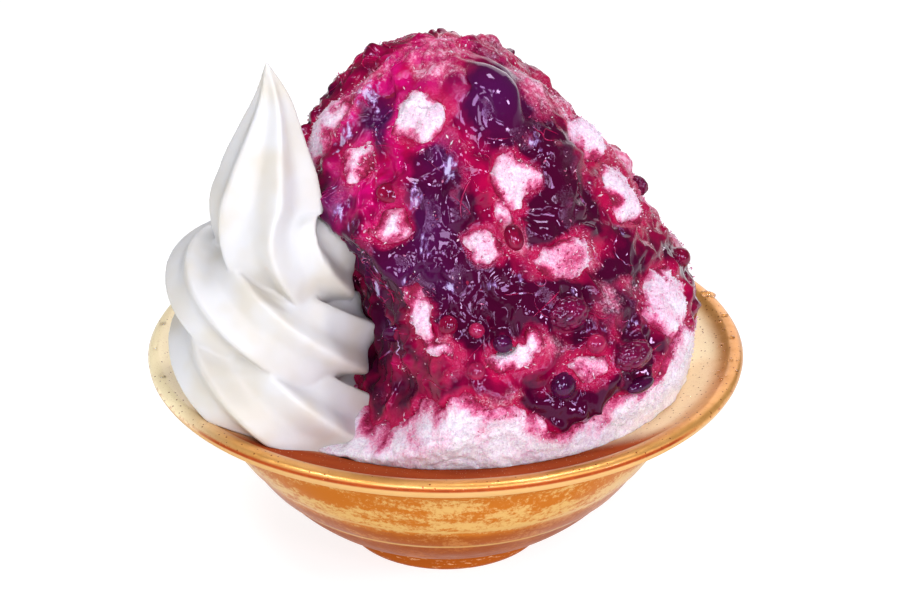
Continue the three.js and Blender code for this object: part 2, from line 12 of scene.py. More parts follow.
import bpy
import numpy as np
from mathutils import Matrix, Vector

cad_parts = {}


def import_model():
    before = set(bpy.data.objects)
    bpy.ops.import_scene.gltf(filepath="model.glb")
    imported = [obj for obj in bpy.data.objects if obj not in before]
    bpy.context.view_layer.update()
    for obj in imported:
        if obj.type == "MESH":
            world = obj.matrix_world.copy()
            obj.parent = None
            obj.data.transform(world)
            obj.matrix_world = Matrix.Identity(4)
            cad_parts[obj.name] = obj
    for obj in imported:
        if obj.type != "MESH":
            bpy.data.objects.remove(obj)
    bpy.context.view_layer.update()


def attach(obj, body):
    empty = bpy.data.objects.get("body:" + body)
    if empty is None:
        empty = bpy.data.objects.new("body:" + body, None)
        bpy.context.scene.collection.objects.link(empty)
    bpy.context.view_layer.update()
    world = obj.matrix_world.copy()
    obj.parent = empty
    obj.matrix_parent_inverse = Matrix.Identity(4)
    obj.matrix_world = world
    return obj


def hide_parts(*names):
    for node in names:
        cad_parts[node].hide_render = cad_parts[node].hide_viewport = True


MM = 0.001  # metres in a millimetre
BODY = "root"
FULL_TURN = 2 * math.pi

Array = np.ndarray
Knots = list[tuple[float, float]]
Spot = tuple[float, float, float, float, float]  # direction, length up, half width, half height, strength
Skinned = tuple[Array, Array]  # a closed skin: its points and its faces
Piece = bpy.types.Object
Material = bpy.types.Material

log = logging.getLogger("dessert")


# ---- curves and noise ----
def ease(x: Array) -> Array:
    """Return 0 below 0, 1 above 1 and 3t^2 - 2t^3 between them."""
    t = np.clip(x, 0.0, 1.0)
    return t * t * (3.0 - 2.0 * t)


def mix(a: Array, b: Array, t: Array) -> Array:
    """Return the value a share t of the way from a to b."""
    return a + (b - a) * t


def unit(vectors: Array) -> Array:
    """Return vectors of the same directions, each 1 long."""
    return vectors / np.linalg.norm(vectors, axis=-1, keepdims=True)


class Curve:
    """A smooth curve through knots that never overshoots them: cubic pieces whose slope at a knot is
    the weighted harmonic mean of the slopes on both sides, or 0 at a turning point."""

    def __init__(self, knots: Knots) -> None:
        """Work out the slope at each knot.

        Args:
            knots: x and y of each knot, in rising x.
        """
        self.x, self.y = np.array(knots, float).T
        self.h = np.diff(self.x)
        d = np.diff(self.y) / self.h
        w1 = 2 * self.h[1:] + self.h[:-1]
        w2 = self.h[1:] + 2 * self.h[:-1]
        same_way = d[:-1] * d[1:] > 0
        safe = np.where(same_way, d[:-1], 1.0), np.where(same_way, d[1:], 1.0)
        inner = np.where(same_way, (w1 + w2) / (w1 / safe[0] + w2 / safe[1]), 0.0)
        self.slope = np.concatenate([d[:1], inner, d[-1:]])

    def __call__(self, x: Array) -> Array:
        """Work out the curve: each end's height and slope, weighted by the cubic Hermite polynomials.

        Args:
            x: places along the curve; beyond its end knots it keeps their height.

        Returns:
            The curve's y at each x.
        """
        x = np.asarray(x, float)
        i = np.clip(np.searchsorted(self.x, x) - 1, 0, len(self.x) - 2)
        t = np.clip((x - self.x[i]) / self.h[i], 0.0, 1.0)
        start = self.y[i] * (1 + 2 * t) * (1 - t) ** 2 + self.h[i] * self.slope[i] * t * (1 - t) ** 2
        end = self.y[i + 1] * t * t * (3 - 2 * t) + self.h[i] * self.slope[i + 1] * t * t * (t - 1)
        return start + end


class Round(Curve):
    """The same curve round a full circle of degrees."""

    def __init__(self, knots: Knots) -> None:
        """Repeat the knots one turn before and after."""
        super().__init__([(a + turn, v) for turn in (-360, 0, 360) for a, v in knots])

    def __call__(self, degrees: Array) -> Array:
        """Return the curve's value at each direction."""
        return super().__call__(np.mod(degrees, 360.0))


class Outline:
    """An outline of radius and height through knots, smooth along its own length."""

    def __init__(self, knots: Knots) -> None:
        """Measure the straight way from knot to knot and lay a curve of radius and one of height.

        Args:
            knots: radius and height of each knot.
        """
        p = np.array(knots, float)
        length = np.concatenate([[0], np.cumsum(np.hypot(*np.diff(p, axis=0).T))])
        self.length = float(length[-1])
        self.radius = Curve(list(zip(length, p[:, 0])))
        self.height = Curve(list(zip(length, p[:, 1])))


class Noise:
    """Gradient noise: on each corner of a cubic lattice lies a random direction, and a point takes the
    eased mix of the eight dot products of those directions with its way from each corner."""

    TABLE = 256  # directions drawn before they repeat, a power of 2
    LAYER_SHIFT = 17.3  # moves each finer layer along, so that no two share a lattice corner
    GAIN = 1.6  # brings one layer to about -1 to 1

    def __init__(self, seed: int) -> None:
        """Draw the lattice's directions.

        Args:
            seed: the number that settles the draw.
        """
        rng = np.random.default_rng(seed)
        order = rng.permutation(self.TABLE)
        self.order = np.concatenate([order, order])
        self.way = unit(rng.normal(size=(self.TABLE, 3)))

    def __call__(self, points: Array, size: float, octaves: int = 1) -> Array:
        """Work out noise of about -1 to 1.

        Args:
            points: places, one row each.
            size: length of one lattice cell, in the points' unit.
            octaves: layers, each half as large and half as strong as the one before.

        Returns:
            One value for each point.
        """
        total = np.zeros(len(points))
        for k in range(octaves):
            total += self._layer(points * (2.0**k / size) + self.LAYER_SHIFT * k) * 0.5**k
        return total

    def _layer(self, q: Array) -> Array:
        """Work out one layer.

        Args:
            q: points, in lattice cells.

        Returns:
            One value for each point.
        """
        cell = np.floor(q).astype(int)
        f = q - cell
        u = f * f * f * (f * (f * 6 - 15) + 10)
        total = np.zeros(len(q))
        for corner in np.ndindex(2, 2, 2):
            c = (cell + corner) & (self.TABLE - 1)
            pick = self.order[self.order[self.order[c[:, 0]] + c[:, 1]] + c[:, 2]]
            weight = np.prod(np.where(corner, u, 1 - u), axis=1)
            total += weight * np.einsum("ij,ij->i", self.way[pick], f - corner)
        return total * self.GAIN

    def ridges(self, points: Array, size: float) -> Array:
        """Return 1 on thin crest lines and falling away from them: 1 less twice the noise's size."""
        return 1 - 2 * np.abs(self(points, size))


NOISE = Noise(3)


# ---- meshes ----
def outward(points: Array, quads: Array) -> Array:
    """Turn all faces over where the volume they enclose, the sum of the triple products, is negative.

    Args:
        points: corners, one row each.
        quads: four corner numbers a face.

    Returns:
        The faces, pointing outwards.
    """
    a, b, c, d = (points[quads[:, k]] for k in range(4))
    volume = np.einsum("ij,ij->", a, np.cross(b, c) + np.cross(c, d))
    return quads if volume > 0 else quads[:, [1, 0, 3, 2]]


def add_mesh(name: str, points: Array, quads: Array, marks: dict[str, Array] | None = None,
             smooth: bool = True) -> Piece:
    """Make a mesh object at the origin.

    Args:
        name: the piece's name.
        points: corners in millimetres, one row each.
        quads: four corner numbers a face; a triangle repeats its last one.
        marks: values for each point by attribute name.
        smooth: whether its faces shade as one curved surface.

    Returns:
        The new object, linked to the scene.
    """
    four = quads[quads[:, 2] != quads[:, 3]]
    three = quads[quads[:, 2] == quads[:, 3]][:, :3]
    mesh = bpy.data.meshes.new(name)
    mesh.from_pydata((points * MM).tolist(), [], four.tolist() + three.tolist())
    for key, values in (marks or {}).items():
        mesh.attributes.new(key, "FLOAT", "POINT").data.foreach_set("value", np.asarray(values, np.float32))
    mesh.update()
    if smooth:
        mesh.shade_smooth()
    return placed(name, mesh)


def placed(name: str, mesh: bpy.types.Mesh) -> Piece:
    """Put a mesh in the scene, at the origin.

    Args:
        name: the object's name.
        mesh: its mesh.

    Returns:
        The object.
    """
    piece = bpy.data.objects.new(name, mesh)
    bpy.context.scene.collection.objects.link(piece)
    return piece


def turned(r: Array, a: Array, z: Array) -> Array:
    """Return points at a radius and a turn a from the front: x = r sin a, y = -r cos a."""
    return np.stack([r * np.sin(a), -r * np.cos(a), z + 0 * a], -1)


def ball(rows: int, columns: int) -> Array:
    """Lay points on a sphere of radius 1: x = sin t cos u, y = sin t sin u, z = cos t.

    Args:
        rows: rings from its top to its bottom, without the poles.
        columns: points in a ring.

    Returns:
        The points, of shape rows x columns x 3.
    """
    t = np.linspace(0, math.pi, rows + 2)[1:-1, None]
    u = np.linspace(0, FULL_TURN, columns, endpoint=False)[None]
    return np.stack([np.sin(t) * np.cos(u), np.sin(t) * np.sin(u), np.cos(t) + 0 * u], -1)


def tube_quads(rows: int, columns: int) -> Array:
    """Make the faces of a grid whose columns close into a ring.

    Args:
        rows: rings in the grid.
        columns: points in a ring.

    Returns:
        Four corner numbers a face.
    """
    i, j = np.meshgrid(np.arange(rows - 1), np.arange(columns), indexing="ij")
    k = (j + 1) % columns
    faces = np.stack([i * columns + j, i * columns + k, (i + 1) * columns + k, (i + 1) * columns + j], -1)
    return faces.reshape(-1, 4)


def cap_quads(ring: Array, tip: int) -> Array:
    """Return triangles from a ring of corners to one tip, as quads with the last corner twice."""
    return np.stack([ring, np.roll(ring, -1), np.full(len(ring), tip), np.full(len(ring), tip)], 1)


def closed_tube(rings: Array, first_tip: Array, last_tip: Array) -> Skinned:
    """Join rings of points into a closed skin with a tip at both ends.

    Args:
        rings: points, of shape rows x columns x 3.
        first_tip: the point that closes the first ring.
        last_tip: the point that closes the last ring.

    Returns:
        The skin's points and its faces.
    """
    rows, columns = rings.shape[:2]
    points = np.concatenate([rings.reshape(-1, 3), [first_tip, last_tip]])
    n = rows * columns
    first = np.arange(columns)
    quads = np.concatenate([
        tube_quads(rows, columns),
        cap_quads(first[::-1], n),
        cap_quads(first + n - columns, n + 1),
    ])
    return points, outward(points, quads)


def together(skins: list[Skinned]) -> Skinned:
    """Put several skins into one.

    Args:
        skins: closed skins.

    Returns:
        All their points and all their faces.
    """
    starts = np.cumsum([0] + [len(points) for points, _ in skins])
    quads = [faces + start for (_, faces), start in zip(skins, starts)]
    return np.concatenate([points for points, _ in skins]), np.concatenate(quads)


def finished(piece: Piece, material: Material, slot: str, *nodes: str) -> Piece:
    """Dress a piece, fix it to the body and hide the nodes it stands for.

    Args:
        piece: the object.
        material: its finish.
        slot: the record's material slot; not used.
        nodes: the solids that it replaces, if any.

    Returns:
        The same object.
    """
    piece.data.materials.clear()
    piece.data.materials.append(material)
    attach(piece, BODY)
    if nodes:
        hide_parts(*nodes)
    log.info("%s: %d faces", piece.name, len(piece.data.polygons))
    return piece


# ---- material building ----
Colour = tuple[float, float, float]
Stops = list[tuple[float, Colour]]
Band = tuple[float, float]  # where a change begins and where it is full
Socket = bpy.types.NodeSocket


class Value:
    """A number that a material works out at every place. Values are added, subtracted and multiplied
    like plain numbers, but a sum is kept between 0 and 1."""

    def __init__(self, coat: "Coat", socket: Socket) -> None:
        """Keep the material and the socket that gives the number."""
        self.coat = coat
        self.socket = socket

    def __add__(self, other: "Value | float") -> "Value":
        """Return the sum, kept between 0 and 1."""
        return self.coat.math("ADD", self, other)

    def __sub__(self, other: "Value | float") -> "Value":
        """Return this value less another."""
        return self.coat.math("SUBTRACT", self, other)

    def __rsub__(self, other: float) -> "Value":
        """Return a plain number less this value."""
        return self.coat.math("SUBTRACT", other, self)

    def __mul__(self, other: "Value | float") -> "Value":
        """Return the product."""
        return self.coat.math("MULTIPLY", self, other)

    def or_more(self, other: "Value | float") -> "Value":
        """Return the greater of this value and another."""
        return self.coat.math("MAXIMUM", self, other)


class Coat:
    """Short calls for one material's node tree; patterns read Object coordinates in metres."""

    def __init__(self, name: str) -> None:
        """Start a material with its main shader.

        Args:
            name: the material's name.
        """
        self.material = bpy.data.materials.new(name)
        self.material.use_nodes = True
        self.tree = self.material.node_tree
        self.shader = self.tree.nodes["Principled BSDF"]
        self.place = self.node("ShaderNodeTexCoord").outputs["Object"]

    def node(self, kind: str, **settings: object) -> bpy.types.Node:
        """Add a node.

        Args:
            kind: its type.
            settings: its properties.

        Returns:
            The node.
        """
        new = self.tree.nodes.new(kind)
        for key, value in settings.items():
            setattr(new, key, value)
        return new

    def put(self, socket: Socket, value: object) -> None:
        """Link a socket to a value, or set its own number or colour.

        Args:
            socket: an input.
            value: a Value, another node's output, a number or a tuple; a colour gets its alpha here.
        """
        source = value.socket if isinstance(value, Value) else value
        if isinstance(source, Socket):
            self.tree.links.new(source, socket)
        elif isinstance(source, tuple) and socket.type == "RGBA":
            socket.default_value = (*source, 1.0)
        else:
            socket.default_value = source

    def set(self, **values: object) -> None:
        """Set the main shader's sockets, written with _ for a space."""
        for key, value in values.items():
            self.put(self.shader.inputs[key.replace("_", " ")], value)

    def math(self, how: str, a: Value | float, b: Value | float) -> Value:
        """Work out one step of arithmetic.

        Args:
            how: the Math node's operation; ADD is clamped.
            a: the first number.
            b: the second number.

        Returns:
            The result.
        """
        new = self.node("ShaderNodeMath", operation=how, use_clamp=how == "ADD")
        self.put(new.inputs[0], a)
        self.put(new.inputs[1], b)
        return Value(self, new.outputs[0])

    def axes(self) -> tuple[Value, Value, Value]:
        """Split the place.

        Returns:
            Its x, y and z, in metres.
        """
        split = self.node("ShaderNodeSeparateXYZ")
        self.put(split.inputs[0], self.place)
        return tuple(Value(self, split.outputs[axis]) for axis in "XYZ")

    def scaled(self, x: float, y: float, z: float) -> Socket:
        """Scale the place's axes, for streaks.

        Args:
            x: scale along x.
            y: scale along y.
            z: scale along z.

        Returns:
            The scaled place.
        """
        new = self.node("ShaderNodeMapping")
        self.put(new.inputs["Vector"], self.place)
        new.inputs["Scale"].default_value = (x, y, z)
        return new.outputs[0]

    def noise(
        self, size: float, detail: float = 2.0, rough: float = 0.5, place: Socket | None = None
    ) -> Value:
        """Make noise of 0 to 1.

        Args:
            size: size of its cells in millimetres.
            detail: how many finer layers it has.
            rough: how strong each finer layer is beside the one before.
            place: the coordinates it reads, the object's own by default.

        Returns:
            The noise.
        """
        new = self.node("ShaderNodeTexNoise")
        self.put(new.inputs["Vector"], place or self.place)
        new.inputs["Scale"].default_value = 1 / (size * MM)
        new.inputs["Detail"].default_value = detail
        new.inputs["Roughness"].default_value = rough
        return Value(self, new.outputs["Fac"])

    def cells(self, size: float) -> Value:
        """Measure the distance to the nearest of scattered points.

        Args:
            size: how far apart they lie, in millimetres.

        Returns:
            The distance, as a share of that.
        """
        new = self.node("ShaderNodeTexVoronoi")
        self.put(new.inputs["Vector"], self.place)
        new.inputs["Scale"].default_value = 1 / (size * MM)
        return Value(self, new.outputs["Distance"])

    def mark(self, name: str) -> Value:
        """Return a piece's own attribute."""
        return Value(self, self.node("ShaderNodeAttribute", attribute_name=name).outputs["Fac"])

    def ramp(self, share: Value, stops: Stops) -> Socket:
        """Pick a colour.

        Args:
            share: where between the stops, 0 to 1.
            stops: the place and colour of each stop.

        Returns:
            The colour.
        """
        new = self.node("ShaderNodeValToRGB")
        self.put(new.inputs["Fac"], share)
        line = new.color_ramp.elements
        while len(line) < len(stops):
            line.new(0.5)
        for element, (at, colour) in zip(line, stops):
            element.position = at
            element.color = (*colour, 1.0)
        return new.outputs["Color"]

    def step(self, value: Value, low: float, high: float) -> Value:
        """Rise from 0 at low to 1 at high, with an easy start and end.

        Args:
            value: what is looked at.
            low: where the rise starts; it may be the greater.
            high: where it ends.

        Returns:
            The share, 0 to 1.
        """
        new = self.node("ShaderNodeMapRange", interpolation_type="SMOOTHSTEP")
        self.put(new.inputs["Value"], value)
        new.inputs["From Min"].default_value = low
        new.inputs["From Max"].default_value = high
        return Value(self, new.outputs["Result"])

    def zone(self, axis: Value, band: Band) -> Value:
        """Return 0 before a band and 1 past it, where the band is given in millimetres along an axis."""
        return self.step(axis, band[0] * MM, band[1] * MM)

    def blend(self, share: Value | float, a: object, b: object, how: str = "MIX") -> Socket:
        """Mix two colours.

        Args:
            share: how much of the second, 0 to 1.
            a: the first colour.
            b: the second colour.
            how: the Mix node's blend type.

        Returns:
            The mixed colour.
        """
        new = self.node("ShaderNodeMix", data_type="RGBA", blend_type=how)
        self.put(new.inputs[0], share)
        self.put(new.inputs[6], a)
        self.put(new.inputs[7], b)
        return new.outputs[2]

    def tinted(self, colour: Socket, tint: Colour) -> Socket:
        """Return a colour multiplied by a tint."""
        return self.blend(1.0, colour, tint, "MULTIPLY")

    def bump(self, height: Value, depth: float, under: Socket | None = None) -> Socket:
        """Tilt the surface's normal by a relief too fine for the mesh.

        Args:
            height: the relief, 0 to 1.
            depth: what 1 is worth, in millimetres.
            under: the normal of a coarser relief under it, if any.

        Returns:
            The normal.
        """
        new = self.node("ShaderNodeBump")
        self.put(new.inputs["Height"], height)
        new.inputs["Distance"].default_value = depth * MM
        if under is not None:
            self.put(new.inputs["Normal"], under)
        return new.outputs[0]


# ---- the bowl ----
@dataclass(frozen=True)
class GoldGlaze:
    """Gold glaze on the flange and lip, with a painted pale sheen on its sides and back and painted shade at
    its front, and under it tan clay with sponged brown bands that turns amber and rust low down. Bands are
    heights, fronts and sides in millimetres."""

    gold: Colour = (0.62, 0.27, 0.055)
    pale_gold: Colour = (0.82, 0.44, 0.14)
    painted_sheen: Colour = (1.0, 0.86, 0.54)
    brown: Colour = (0.22, 0.026, 0.008)
    honey: Colour = (0.46, 0.085, 0.016)
    tan: Colour = (0.60, 0.36, 0.115)
    sponge: Colour = (0.45, 0.125, 0.010)
    rust: Colour = (0.26, 0.050, 0.004)
    amber: Colour = (0.36, 0.080, 0.008)
    scratch: Colour = (0.80, 0.48, 0.24)
    cream: Colour = (0.68, 0.39, 0.17)

    # painted highlight: a pale sheen where the flange's back and left side are lit
    painted_sheen_back: Band = (-22, 12)
    painted_sheen_left: Band = (-58, -80)
    # painted shade: the front of the flange browner, where the mound shades it
    shade_front: Band = (-50, -64)
    shade_top: Band = (62.9, 62.2)
    lip_line: Band = (62.8, 62.1)
    under_lip: Band = (61.9, 61.2)
    gold_from: Band = (52.5, 54.5)
    upper_sponging: Band = (39.5, 43.5)
    lower_sponging: Band = (34, 29)
    brown_from: Band = (33.0, 29.5)
    brownest_from: Band = (25.6, 23.2)
    foot_from: Band = (9.5, 7.5)
    # painted highlight: a pale line along each turned ledge
    ledges: tuple[float, ...] = (32.9, 23.9)
    ledge_highlight_edge: Band = (1.1, 0.3)  # how far from a ledge its pale line begins and is full
    # squared radii in square metres
    inside_lip: Band = (0.0072, 0.0063)
    outside_lip: Band = (0.0071, 0.0075)

    def build(self) -> Material:
        """Make the material.

        Returns:
            The glaze: gold above, clay below, and browner painted shade at the front of the flange.
        """
        m = Coat("gold_glaze")
        x, y, z = m.axes()
        squared = x * x + y * y
        # painted highlight: a pale sheen on the flange's back and left, inside the lip
        painted_sheen_mask = m.zone(y + m.noise(30) * 0.03, self.painted_sheen_back) * m.step(squared, *self.inside_lip)
        painted_sheen_mask = painted_sheen_mask.or_more(m.zone(x, self.painted_sheen_left))
        # painted shade at the front of the flange, broken by gold flecks
        front_shade = m.zone(y, self.shade_front) * m.zone(z, self.shade_top)
        front_shade = front_shade * (1.0 - m.step(m.cells(1.3), 0.12, 0.05))
        outside = m.step(squared, *self.outside_lip)
        under = m.zone(z, self.under_lip) * outside
        streak = m.noise(9, 5, 0.65, m.scaled(0.55, 0.55, 1.5))
        wavy = z + (streak - 0.5) * 0.012
        brownest = m.zone(wavy, self.brownest_from)
        is_gold = m.zone(z, self.gold_from)
        plain = front_shade.or_more(under).or_more(painted_sheen_mask * 0.95)
        m.set(
            Base_Color=m.blend(
                is_gold,
                self.clay(m, z, streak, wavy, brownest),
                self.flange(m, z, painted_sheen_mask, front_shade, outside, under)),
            Metallic=(is_gold - plain) * 0.6,
            Roughness=front_shade * 0.4 + (0.44 - m.noise(5, 3) * 0.18),
            Specular_IOR_Level=0.02,
            Coat_Weight=(1.0 - front_shade.or_more(brownest)) * 0.3,
            Coat_Roughness=0.08,
            Coat_IOR=1.45,
            Normal=m.bump(m.noise(0.9, 3, 0.6), 0.05, m.bump(m.noise(11, 2), 0.5)),
        )
        return m.material

    def flange(self, m: Coat, z: Value, painted_sheen_mask: Value, front_shade: Value, outside: Value, under: Value) -> Socket:
        """Colour the flange and lip: gold with a painted pale sheen and fine dark specks, painted shade in
        brown and honey at the front, a broken honey line along the lip and a pale band under it.

        Args:
            m: the material.
            z: the height.
            painted_sheen_mask: where a pale sheen, a painted highlight, lies on the gold.
            front_shade: where painted shade lies at the front of the flange.
            outside: where the bowl is outside its lip's crest.
            under: where it is under the lip.

        Returns:
            The colour.
        """
        gold = m.ramp(m.noise(14, 4, 0.6), [(0.3, self.gold), (0.75, self.pale_gold)])
        # painted highlight: the pale sheen over the gold
        gold = m.blend(painted_sheen_mask, gold, self.painted_sheen)
        gold = m.blend(m.step(m.noise(0.45, 2, 0.6), 0.6, 0.7) * 0.35, gold, self.sponge)
        gold = m.blend(m.step(m.cells(1.9), 0.09, 0.17), self.brown, gold)
        # painted shade: brown and honey at the front of the flange
        front_shade_colour = m.blend(m.noise(5, 3, 0.6, m.scaled(0.3, 0.3, 1)), self.brown, self.honey)
        gold = m.blend(front_shade, gold, front_shade_colour)
        line = m.zone(z, self.lip_line) * m.step(m.noise(2.6, 4, 0.7), 0.48, 0.60)
        gold = m.blend(line * outside * 0.45, gold, self.honey)
        pale = m.blend(m.noise(6, 3, 0.6, m.scaled(0.4, 0.4, 1)), self.cream, self.tan)
        return m.blend(under, gold, pale)

    def clay(self, m: Coat, z: Value, streak: Value, wavy: Value, brownest: Value) -> Socket:
        """Colour the body: tan, two bands of sponged streaks and dabs, browner below a wavy edge, a painted
        highlight line on each turned ledge, and a scratched amber foot.

        Args:
            m: the material.
            z: the height.
            streak: the noise that both the sponging and the wavy edge follow.
            wavy: the height, moved by the streaks.
            brownest: where the body is brownest.

        Returns:
            The colour.
        """
        sponging = m.zone(z, self.lower_sponging) + m.zone(z, self.upper_sponging) * 0.95
        sponged = streak * 0.55 + m.noise(1.6, 5, 0.8) * 0.48
        sponged = m.step(sponged + sponging * 0.070, 0.490, 0.595)
        clay = m.blend(sponged * 0.95, self.tan, self.sponge)
        browner = (brownest * 0.92).or_more(m.zone(wavy, self.brown_from) * 0.75)
        clay = m.blend(browner, clay, m.blend(sponged, self.amber, self.rust))
        start, full = self.ledge_highlight_edge
        # painted highlight: a pale line along each ledge
        for at in self.ledges:
            ledge = m.zone(z, (at + start, at + full)) * m.zone(z, (at - start, at - full))
            clay = m.blend(ledge * 0.7, clay, self.tan)
        scratches = m.step(m.noise(0.8, 3, 0.7, m.scaled(0.25, 0.25, 1.0)), 0.58, 0.66) * 0.5
        return m.blend(m.zone(z, self.foot_from), clay, m.blend(scratches, self.amber, self.scratch))


@dataclass
class Bowl:
    """The turned bowl: foot, body with two turned steps, flange, rolled lip and well. Each stretch of
    the outline is a list of radius and height."""

    foot: Knots = field(default_factory=lambda: [
        (0, 1.2), (26.5, 1.2), (28.2, 0.1), (30.4, 0), (31.4, 0.9), (32.3, 5.6), (34.2, 7.4)])
    body: Knots = field(default_factory=lambda: [
        (34.2, 7.4), (42.4, 11), (50.1, 17), (56.1, 23.4)])
    waist: Knots = field(default_factory=lambda: [
        (57.3, 24.2), (60.3, 28.2), (62.9, 32.4)])
    shoulder: Knots = field(default_factory=lambda: [
        (64.2, 33.3), (69.6, 42), (72.4, 48.6), (78.6, 53.4), (86.4, 57.9), (89.3, 60), (90, 61.8),
        (89.2, 63.1), (87.2, 63.65), (85.4, 63.2), (84, 62.4)])
    well: Knots = field(default_factory=lambda: [
        (84, 62.4), (66, 55), (63.2, 51.4), (59.6, 43), (52.4, 32.6), (41, 23.5), (27, 17.2), (0, 14)])
    top: Knots = field(default_factory=lambda: [
        (60, 44), (63.2, 51.4), (66, 55), (84, 62.4), (85.4, 63.2), (87.2, 63.65), (89.2, 63.1), (90, 61.8)])
    step: float = 1.1  # length of a face along the outline
    columns: int = 240

    def upper(self, r: Array) -> Array:
        """Return the height of the flange and lip's upper side at each radius."""
        return Curve(self.top)(r)

    def profile(self) -> Array:
        """Run along the outline in even steps, each stretch a smooth curve by its own length.

        Returns:
            Radius and height of each point, from the foot's middle round the lip to the well's.
        """
        stretches = []
        for knots in (self.foot, self.body, self.waist, self.shoulder, self.well):
            line = Outline(knots)
            at = np.linspace(0, line.length, max(3, int(line.length / self.step)))
            stretches.append(np.stack([line.radius(at), line.height(at)], 1)[1 if stretches else 0:])
        return np.concatenate(stretches)

    def build(self) -> Piece:
        """Turn the outline about the axis.

        Returns:
            The bowl.
        """
        line = self.profile()[1:-1]
        a = np.linspace(0, FULL_TURN, self.columns, endpoint=False)
        rings = turned(line[:, :1], a, line[:, 1:])
        points, quads = closed_tube(rings, (0, 0, self.foot[0][1]), (0, 0, self.well[-1][1]))
        return finished(add_mesh("gold_bowl", points, quads), GoldGlaze().build(), "gold_glaze", "bowl")


# ---- the heap's outer surface ----
@dataclass
class Heap:
    """The surface that ice and sauce follow: a turned side, broader or narrower by direction, with soft
    lumps, a crown that leans left, and a flat nook cut for the swirl."""

    # radius, height
    side: Knots = field(default_factory=lambda: [
        (70, 56.7), (73, 60), (75.2, 64), (76.2, 69.5), (76.2, 76), (75, 82.5), (72.6, 88), (69, 93.5),
        (65.4, 98.5), (62.4, 103.5), (59.2, 108.5), (56.8, 113), (53.6, 118), (49.2, 123), (45.4, 128.5),
        (41.6, 134), (37, 139.5), (31.6, 144.6), (25.4, 149.4), (18.8, 153.6), (12, 157), (6, 159),
        (0, 159.6)])
    # direction, share of the radius
    breadth: Knots = field(default_factory=lambda: [
        (0, 0.95), (45, 1), (90, 1), (135, 0.97), (180, 0.93), (225, 0.92), (270, 0.9), (315, 0.92)])
    # waves round, start angle, waves up, start, height
    waves: list[tuple[float, ...]] = field(default_factory=lambda: [
        (3, 0.7, 0.055, 1.1, 0.9), (5, 2.1, 0.075, 0.4, 1), (8, 4, 0.11, 2.2, 0.9),
        (11, 0.3, 0.16, 3.5, 0.8), (15, 1.7, 0.21, 5.1, 0.6), (19, 3.3, 0.27, 0.9, 0.5)])
    waves_fade: float = 22  # length below the top over which the lumps and the breadth fade
    breadth_fade: float = 60
    waves_begin: float = 12  # length above the foot over which the lumps grow
    nook_facing: float = -62
    nook_blend: float = 6
    # height, distance of the flat from the axis
    nook: Knots = field(default_factory=lambda: [
        (56, 82), (58, 56), (62, 46), (68, 38), (75, 33.5), (90, 33.5), (100, 36), (110, 39), (118, 44),
        (126, 52), (134, 60)])
    lean: float = -2.2
    lean_from: float = 85
    lean_over: float = 45
    crowding: float = 34  # how far the grid's directions crowd to the front, in degrees

    def __post_init__(self) -> None:
        """Measure the side and lay its curves."""
        line = Outline(self.side)
        self.length, self.radius, self.height = line.length, line.radius, line.height
        self.spread = Round(self.breadth)
        self.reach = Curve(self.nook)

    def nooked(self, r: Array, azimuth: Array, z: Array) -> Array:
        """Cut the heap back to the nook's flat, which stands reach / cos(turn) away; the two meet in a
        smooth minimum as wide as the blend.

        Args:
            r: radii of the heap.
            azimuth: directions.
            z: heights.

        Returns:
            The radii, smaller in the nook.
        """
        grazing = 0.05
        facing = np.cos(np.radians(azimuth - self.nook_facing))
        flat = self.reach(z) / np.maximum(facing, grazing)
        h = np.clip(0.5 + (r - flat) / (2 * self.nook_blend), 0, 1)
        cut = mix(r, flat, h) - self.nook_blend * h * (1 - h)
        return np.where(facing > grazing, cut, r)

    def lumps(self, a: Array, along: Array) -> Array:
        """Add up the waves: each the sine of its turns round, bent by its own waves up, times the sine
        of its waves up.

        Args:
            a: directions, in radians.
            along: lengths up the side.

        Returns:
            Heights above the plain side.
        """
        total = 0.0
        for count, start, up, begin, size in self.waves:
            bend = 0.6 * np.sin(0.7 * up * along + begin)
            total = total + size * np.sin(count * a + start + bend) * np.sin(up * along + begin)
        fade = np.clip((self.length - along) / self.waves_fade, 0, 1)
        return total * fade * np.clip(along / self.waves_begin, 0.25, 1)

    def point(self, azimuth: Array, along: Array) -> Array:
        """Place points on the surface: the side's radius times the breadth, cut by the nook, moved out
        by the lumps and leaned over.

        Args:
            azimuth: directions.
            along: lengths up the side.

        Returns:
            One place for each pair.
        """
        e = 0.05
        low, high = np.maximum(0, along - e), np.minimum(self.length, along + e)
        dr, dz = self.radius(high) - self.radius(low), self.height(high) - self.height(low)
        n = np.hypot(dr, dz)
        a = np.radians(azimuth)
        lumps = self.lumps(a, along)
        wide = 1 + (self.spread(azimuth) - 1) * np.clip((self.length - along) / self.breadth_fade, 0, 1)
        z = self.height(along) - dr / n * lumps
        r = self.nooked(self.radius(along) * wide, azimuth, self.height(along)) + dz / n * lumps
        places = turned(r, a, z)
        places[..., 0] += self.lean * np.clip((z - self.lean_from) / self.lean_over, 0, 1)
        return places

    def frame(self, azimuth: Array, along: Array) -> tuple[Array, Array]:
        """Find the surface and its direction outwards: the cross product of the steps round and up.

        Args:
            azimuth: directions.
            along: lengths up the side.

        Returns:
            The places, and the direction that leaves the surface at each.
        """
        e = 0.5
        above, below = np.minimum(along + e, self.length), np.maximum(along - e, 0)
        across = self.point(azimuth + e, along) - self.point(azimuth - e, along)
        upward = self.point(azimuth, above) - self.point(azimuth, below)
        normal = np.cross(across, upward)
        size = np.linalg.norm(normal, axis=-1, keepdims=True)
        normal = np.where(size > 1e-6, normal / np.maximum(size, 1e-9), (0.0, 0.0, 1.0))
        return self.point(azimuth, along), normal

